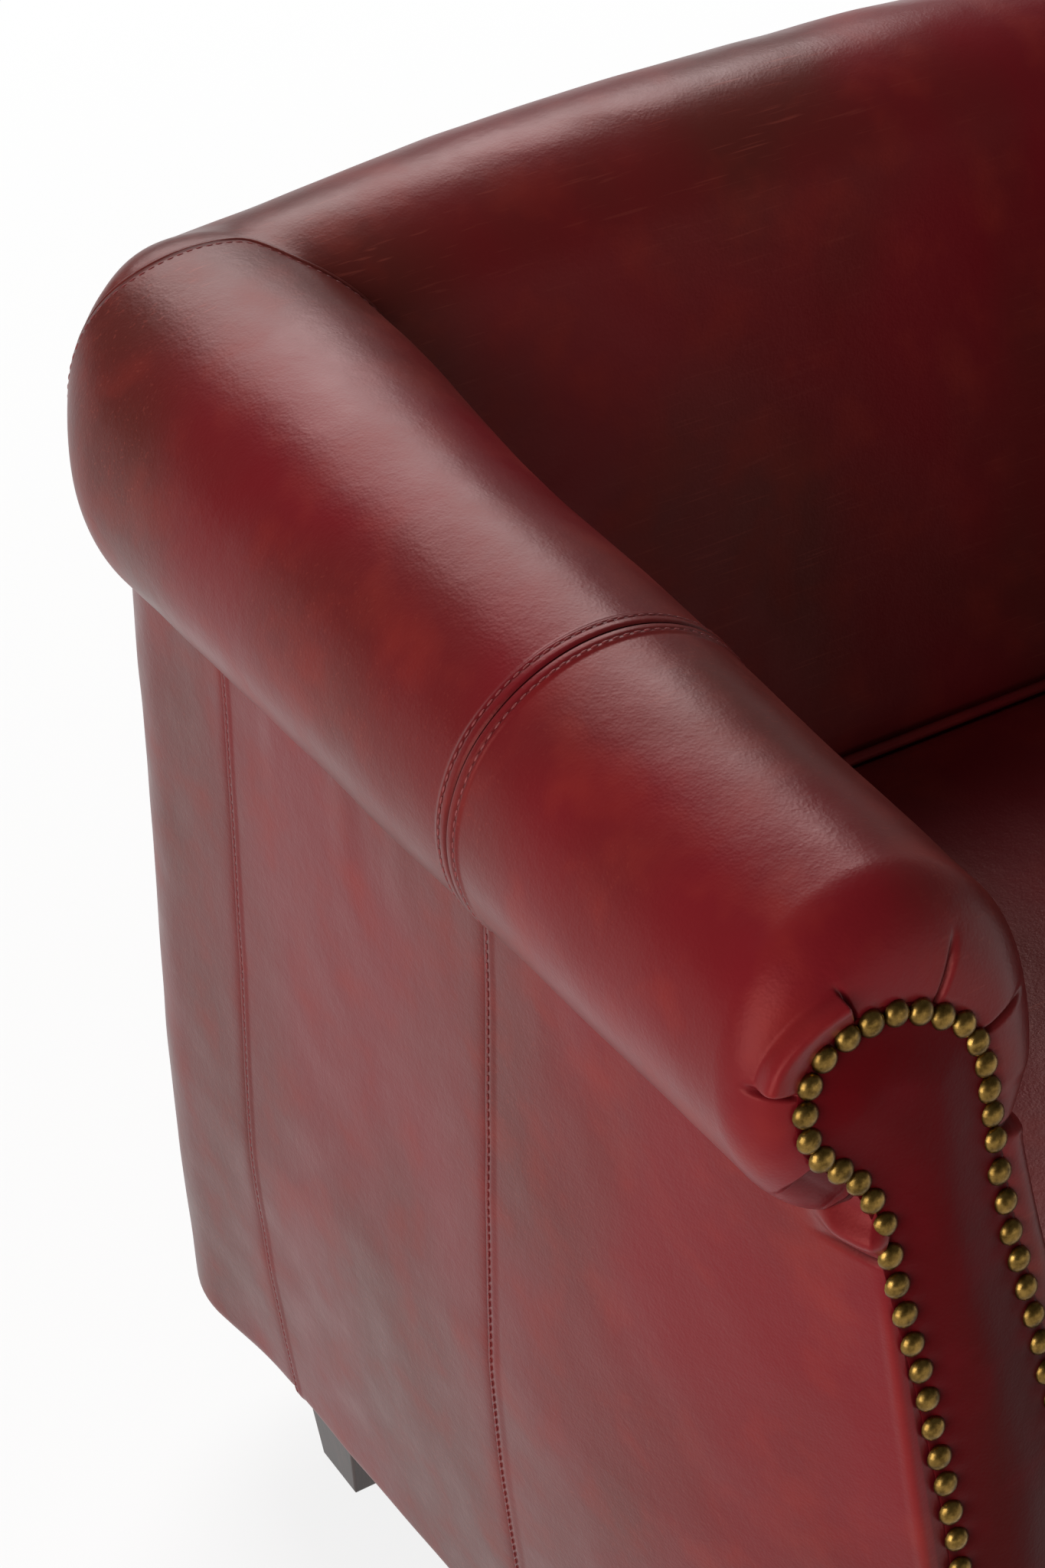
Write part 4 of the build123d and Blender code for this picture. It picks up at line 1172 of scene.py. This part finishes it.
def cushion_rings():
    """Rings of points from the cushion's bottom over its border to its top, and how firmly each is held."""
    rows = [((1 - t) * CUSHION_REACH, CUSHION_LOW, 1.0) for t in np.linspace(0.03, 1, 10)]
    rows += [(0, z, float(z > CUSHION_SEAM - 1)) for z in np.linspace(CUSHION_LOW, CUSHION_SEAM, 12)[1:]]
    rows += [(t * CUSHION_REACH, CUSHION_SEAM + 9 * (1 - (1 - t) ** 2.5), 0.0)
             for t in np.linspace(0, 1, CUSHION_TOP_RINGS + 1)[1:]]
    rings = [np.insert(cushion_outline(inset), 2, z, axis=1) for inset, z, _ in rows]
    return np.array(rings), np.array([hold for _, _, hold in rows])


def filled_cushion(mesh, rings, held):
    """Places of the cushion's points after a cloth simulation under pressure, held along its welts."""
    rest = rings.reshape(-1, 3) * MM
    scene = bpy.context.scene
    count = rings.shape[1]
    made = link("cushion_form", mesh)
    group = made.vertex_groups.new(name="welts")
    for row in np.flatnonzero(held):
        group.add(list(range(row * count, (row + 1) * count)), held[row], "REPLACE")
    zip_side = np.flatnonzero((rest[:, 1] > (CUSHION_REAR - 3) * MM) & (rest[:, 2] < CUSHION_SEAM * MM))
    group.add(zip_side.tolist(), 1.0, "REPLACE")
    cloth = made.modifiers.new("fill", "CLOTH")
    for key, value in (
        ("quality", 6), ("mass", 0.3), ("tension_stiffness", 25), ("compression_stiffness", 25),
        ("shear_stiffness", 12), ("bending_stiffness", 2.0), ("use_pressure", True),
        ("uniform_pressure_force", trim_settings().cushion_pressure), ("vertex_group_mass", "welts"),
    ):
        setattr(cloth.settings, key, value)
    cloth.settings.effector_weights.gravity = 0
    for number in range(1, 21):
        scene.frame_set(number)
    full = evaluated(made)
    made.modifiers.remove(cloth)
    bpy.data.objects.remove(made)
    scene.frame_set(1)
    # Away from the welts the filling carries the leather evenly, so the creases fade towards the middle
    move = (read(full, "co") - rest).reshape(rings.shape)
    bpy.data.meshes.remove(full)
    top = CUSHION_TOP_RINGS
    even = move.mean(axis=1)
    for _ in range(30):
        even[-top:-1] = (even[-top - 1:-2] + 2 * even[-top:-1] + even[-top + 1:]) / 4
        even[-1] = even[-2]
    inward = np.r_[np.zeros(len(rings) - top), np.linspace(0, 1, top + 1)[1:]]
    calm = ease((inward - 0.15) / 0.4)[:, None, None]
    move = (move * (1 - calm) + even[:, None, :] * calm).reshape(-1, 3)
    far = np.linalg.norm(move, axis=1, keepdims=True)
    return rest + move * np.minimum(1, 0.012 / np.maximum(far, 1e-9))


def piping_mesh(name):
    """Piping round the cushion's lower and upper edges."""
    outline = cushion_outline(-2.6)
    ahead = np.roll(outline, -1, axis=0) - np.roll(outline, 1, axis=0)
    ahead /= np.linalg.norm(ahead, axis=1, keepdims=True)
    turn = np.linspace(0, 2 * math.pi, 12, endpoint=False)
    out = PIPING_R * np.cos(turn)
    shape = bmesh.new()
    for z in (CUSHION_LOW + 3.4, CUSHION_SEAM):
        x = outline[:, :1] + ahead[:, 1:] * out
        y = outline[:, 1:] - ahead[:, :1] * out
        tube(shape, stacked(x, y, z + PIPING_R * np.sin(turn)) * MM, closed=True)
    return smooth_faces(mesh_of(shape, name))


class ARMCHAIR_OT_seat_cushion(bpy.types.Operator):
    """Loose seat cushion, filled by a cloth simulation held along its welts, with piping"""

    bl_idname = "armchair.seat_cushion"
    bl_label = "Seat cushion"

    def execute(self, context):
        rings, held = cushion_rings()
        shape = bmesh.new()
        tube(shape, rings * MM)
        mesh = mesh_of(shape, "cushion_leather")
        place = filled_cushion(mesh, rings, held)
        lift = 0.5 * wander(place / MM, 60, 41) + 0.25 * wander(place / MM, 20, 42)
        free = np.repeat(1 - held, rings.shape[1])[:, None]
        place = place + read(mesh, "normal") * (lift * MM)[:, None] * free
        mesh.vertices.foreach_set("co", place.reshape(-1))
        smooth_faces(mesh).update()
        nodes = (
            "cushion_core", "cushion_top_cover", "cushion_bottom_cover", "cushion_border",
            "cushion_zip_border")
        made = keep("cushion_leather", mesh, *HIDE, nodes, 0.8, "seat_cushion")
        finer = made.modifiers.new("finer", "SUBSURF")
        finer.levels = finer.render_levels = 1
        name = "cushion_piping"
        keep(name, piping_mesh(name), *HIDE, ("cushion_welts",), body="seat_cushion")
        return {"FINISHED"}


def border_points(x):
    """Front border below the cushion: turned under, up the front and over its rounded top edge."""
    z = np.linspace(UNDERSIDE_Z + 2, BORDER_TOP_Z, 60)
    a = np.linspace(0, math.pi / 2, 14)[1:]
    under = front_y(UNDERSIDE_Z) + BORDER_SETBACK + np.array([48, 36, 24, 12, 5])
    y = np.r_[under, front_y(z) + BORDER_SETBACK,
              front_y(BORDER_TOP_Z) + BORDER_SETBACK + EDGE_R * (1 - np.cos(a))][:, None]
    z = np.r_[np.full(len(under), UNDERSIDE_Z + 0.5), z, BORDER_TOP_Z + EDGE_R * np.sin(a)][:, None]
    points = stacked(x, y, z)
    t = np.linspace(0, 1, len(y))[:, None]
    fill = 4.0 * np.sin(np.pi * np.clip(t * 1.1, 0, 1)) * (1 - (x / 262) ** 6)
    lift = fill + 0.8 * wander(points, 80, 51) - 4.0 * bump(260 - np.abs(x), 4)
    lift *= (t < 0.86) * ease((0.9 - t) / 0.12)
    normal = -grid_normals(points)
    return points + np.where(normal[..., 1:2] > 0.2, -normal, normal) * lift[..., None]


class ARMCHAIR_OT_seat_base(bpy.types.Operator):
    """Padded front below the cushion, seat deck and the lining underneath"""

    bl_idname = "armchair.seat_base"
    bl_label = "Seat base"

    def execute(self, context):
        x = np.linspace(-260, 260, 150)
        front = border_points(x)
        deck_front = front_y(BORDER_TOP_Z) + BORDER_SETBACK + EDGE_R
        deck = stacked(x[:, None], np.linspace(deck_front, 153, 120), DECK_Z - 0.9)
        deck[..., 2] += 0.3 * wander(deck, 50, 61)
        for name, points, flip, nodes, fill in (
            ("front_border_leather", front, True, ("front_border_cover", "front_border_pad"), 0.85),
            ("seat_deck_leather", deck, False, ("seat_deck_cover", "seat_deck_pad"), 0.95),
        ):
            keep(name, grid_mesh(name, points, np.zeros(points.shape[:2]), flip), *HIDE, nodes, fill)
        self.lining()
        return {"FINISHED"}

    def lining(self):
        """Black cloth stapled across the underside, cut round the legs."""
        low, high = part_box("dust_cover")
        y = np.linspace(low.y, high.y, 130) / MM
        t = np.linspace(-1, 1, 120)[:, None]
        half = np.minimum(HALF_WIDTH - 62 - side_inset(y), high.x / MM)
        corner = 17.0
        past = np.maximum(y - (high.y / MM - corner), 0)
        half = half - (corner - np.sqrt(np.maximum(corner ** 2 - past ** 2, 0)))
        points = stacked(t * half, y, 98.4)
        sag = (1 - t ** 4) * (1 - np.linspace(-1, 1, 130) ** 4)
        points[..., 2] -= 0.7 * sag + 0.15 * wander(points, 60, 71)
        mesh = grid_mesh("dust_cover_cloth", points, flip=True)
        shape = bmesh.new()
        shape.from_mesh(mesh)
        boxes = [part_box("leg_" + name) for name in LEGS]
        room = 0.003
        holes = [f for f in shape.faces for p in [f.calc_center_median()] if any(
            a.x - room < p.x < b.x + room and a.y - room < p.y < b.y + room for a, b in boxes)]
        bmesh.ops.delete(shape, geom=holes, context="FACES")
        area = sum(f.calc_area() for f in shape.faces)
        shape.to_mesh(mesh)
        shape.free()
        made = keep("dust_cover_cloth", mesh, "black_lining", "lining", ("dust_cover",))


class ARMCHAIR_OT_legs(bpy.types.Operator):
    """Square tapered legs with eased edges"""

    bl_idname = "armchair.legs"
    bl_label = "Legs"

    def execute(self, context):
        for name in LEGS:
            low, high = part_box("leg_" + name)
            middle = (low + high) / 2
            shape = bmesh.new()
            tube(shape, [
                [(middle.x + sx * half, middle.y + sy * half, z) for sx, sy in SQUARE]
                for z, half in ((low.z, 0.0184), (low.z + 0.0012, 0.019), (high.z - 0.0004, 0.0297))])
            bmesh.ops.recalc_face_normals(shape, faces=shape.faces)
            upright = [e for e in shape.edges if abs(e.verts[0].co.z - e.verts[1].co.z) > 0.01]
            bmesh.ops.bevel(shape, geom=upright, offset=0.0016, segments=3, affect="EDGES", profile=0.5)
            leg = "leg_" + name
            keep(leg + "_wood", mesh_of(shape, leg + "_wood"), "stained_beech", "leg_wood", [leg])
        return {"FINISHED"}


class ARMCHAIR_OT_stitching(bpy.types.Operator):
    """Rows of stitches beside the seams"""

    bl_idname = "armchair.stitching"
    bl_label = "Stitching"

    def execute(self, context):
        z_panel = np.linspace(598, 112, 160)
        rows = []
        for off, piece in ((FELLED_ROW, "roll_rear_leather_"), (-FELLED_ROW, "roll_front_leather_")):
            y = MID_SEAM_Y + off
            s, z = (line[:, 0] for line in arm_section(np.full(1, y), 200, 120))
            rows.append((piece, s, y, z))
        for seam, piece in ((MID_SEAM_Y, "outside_front_leather_"), (REAR_SEAM_Y, "outside_rear_leather_")):
            y = seam - PLAIN_ROW
            rows.append((piece, side_inset(y) + foot_inset(z_panel, y), y, z_panel))
        for side, sign in SIDES:
            stitched("seam_stitches_" + side, [
                on_surface(piece + side, stacked((s - HALF_WIDTH) * sign, y, z) * MM, 0.0002)
                for piece, s, y, z in rows])
        return {"FINISHED"}


class ARMCHAIR_OT_frame_finish(bpy.types.Operator):
    """Materials of the frame and fittings that keep their solids"""

    bl_idname = "armchair.frame_finish"
    bl_label = "Frame and fittings"

    def execute(self, context):
        of_slot = {
            "frame_hardwood": "sawn_hardwood", "frame_plywood": "sawn_hardwood",
            "webbing": "elastic_webbing", "felt": "elastic_webbing", "foam": "cut_foam",
            "lining": "black_lining", "zip_metal": "antiqued_brass", "antique_brass": "antiqued_brass",
            "leg_hardware": "zinc_plated_steel", "leg_wood": "stained_beech",
            "leather": "antiqued_leather", "facing_leather": "panel_leather",
        }
        for entry in frame["record"]["subparts"]:
            material = finish(of_slot[entry["material_slot"]])
            for place in frame["nodes"][entry["node"]].material_slots:
                place.material = material
        return {"FINISHED"}


def floor_material():
    """Pale studio paint, nearly white where it is seen directly or mirrored, with a light shadow."""
    material, tree, shader, place = new_material("pale_floor")
    plug(tree, shader, {"Base Color": linear("#f8f7f6"), "Roughness": 0.9, "Specular IOR Level": 0.1})
    path = add(tree, "ShaderNodeLightPath").outputs
    seen = math_node(tree, "MAXIMUM", path["Is Camera Ray"], path["Is Transmission Ray"])
    seen = math_node(tree, "MAXIMUM", seen, path["Is Glossy Ray"])
    away = add(tree, "ShaderNodeVectorMath", {0: place}, operation="LENGTH").outputs["Value"]
    fade = remap(tree, away, 0.9, 2.3, 0.8, 1.0, interpolation_type="SMOOTHSTEP")
    glow = add(tree, "ShaderNodeEmission", {"Color": (1, 1, 1, 1), "Strength": 1.0})
    share = math_node(tree, "MULTIPLY", seen, fade)
    both = add(tree, "ShaderNodeMixShader", {0: share, 1: shader.outputs[0], 2: glow.outputs[0]})
    # From below it is clear, so that the underside can be looked at
    below = add(tree, "ShaderNodeNewGeometry").outputs["Backfacing"]
    clear = add(tree, "ShaderNodeBsdfTransparent")
    both = add(tree, "ShaderNodeMixShader", {0: below, 1: both.outputs[0], 2: clear.outputs[0]})
    plug(tree, tree.nodes["Material Output"], {"Surface": both.outputs[0]})
    return material


class ARMCHAIR_OT_stage(bpy.types.Operator):
    """Pale floor, soft studio light and the camera"""

    bl_idname = "armchair.stage"
    bl_label = "Stage"

    def execute(self, context):
        scene = context.scene
        scene.view_settings.view_transform = "Standard"
        scene.world = bpy.data.worlds.new("studio")
        scene.world.use_nodes = True
        tree = scene.world.node_tree
        tree.nodes.clear()
        # A dim room; the wall behind the floor's edge is white
        way = add(tree, "ShaderNodeTexCoord").outputs["Generated"]
        height = add(tree, "ShaderNodeSeparateXYZ", {0: way}).outputs["Z"]
        wall = remap(tree, height, 0.05, 0.14, 1.0, 0.13)
        room = add(tree, "ShaderNodeBackground", {"Color": (1, 0.99, 0.98, 1), "Strength": wall})
        add(tree, "ShaderNodeOutputWorld", {"Surface": room.outputs[0]})
        mesh = bpy.data.meshes.new("floor")
        corners = [(x * FLOOR_HALF, y * FLOOR_HALF, 0) for x, y in SQUARE]
        mesh.from_pydata(corners, [], [(0, 1, 2, 3)])
        floor = link("floor", mesh)
        mesh.materials.append(floor_material())
        for name, place, aim, width, height, power in LAMPS:
            lamp = bpy.data.lights.new(name, "AREA")
            lamp.shape = "RECTANGLE"
            lamp.size, lamp.size_y, lamp.energy = width, height, power
            holder = link(name, lamp)
            holder.location = place
            holder.rotation_euler = (Vector(aim) - Vector(place)).to_track_quat("-Z", "Y").to_euler()
        camera = bpy.data.cameras.new("photo_view")
        camera.sensor_width, camera.lens, camera.clip_end = CAMERA_SENSOR, CAMERA_LENS, 100
        scene.camera = link("photo_view", camera)
        scene.camera.location = CAMERA_PLACE
        scene.camera.rotation_euler = Vector(CAMERA_BACK).normalized().to_track_quat("Z", "Y").to_euler()
        return {"FINISHED"}


class ARMCHAIR_PT_panel(bpy.types.Panel):
    """Sizes, colours and steps of the armchair"""

    bl_idname = "ARMCHAIR_PT_panel"
    bl_label = "Armchair"
    bl_space_type = "VIEW_3D"
    bl_region_type = "UI"
    bl_category = "Armchair"

    def draw(self, context):
        for group in (context.scene.armchair_leather, context.scene.armchair_trim):
            for key in group.__annotations__:
                self.layout.prop(group, key)
        for step in STEPS:
            self.layout.operator(step.bl_idname)


STEPS = (
    ARMCHAIR_OT_stage,
    ARMCHAIR_OT_frame_finish,
    ARMCHAIR_OT_arm_rolls,
    ARMCHAIR_OT_outside_panels,
    ARMCHAIR_OT_arm_fronts,
    ARMCHAIR_OT_nails,
    ARMCHAIR_OT_back,
    ARMCHAIR_OT_seat_cushion,
    ARMCHAIR_OT_seat_base,
    ARMCHAIR_OT_legs,
    ARMCHAIR_OT_stitching,
)
CLASSES = (LeatherSettings, TrimSettings) + STEPS + (ARMCHAIR_PT_panel,)


def register():
    for kind in CLASSES:
        bpy.utils.register_class(kind)
    bpy.types.Scene.armchair_leather = bpy.props.PointerProperty(type=LeatherSettings)
    bpy.types.Scene.armchair_trim = bpy.props.PointerProperty(type=TrimSettings)


def unregister():
    del bpy.types.Scene.armchair_leather
    del bpy.types.Scene.armchair_trim
    for kind in reversed(CLASSES):
        bpy.utils.unregister_class(kind)


def main():
    register()
    for step in STEPS:
        group, name = step.bl_idname.split(".")
        getattr(getattr(bpy.ops, group), name)()
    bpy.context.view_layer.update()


if __name__ == "__main__":
    main()
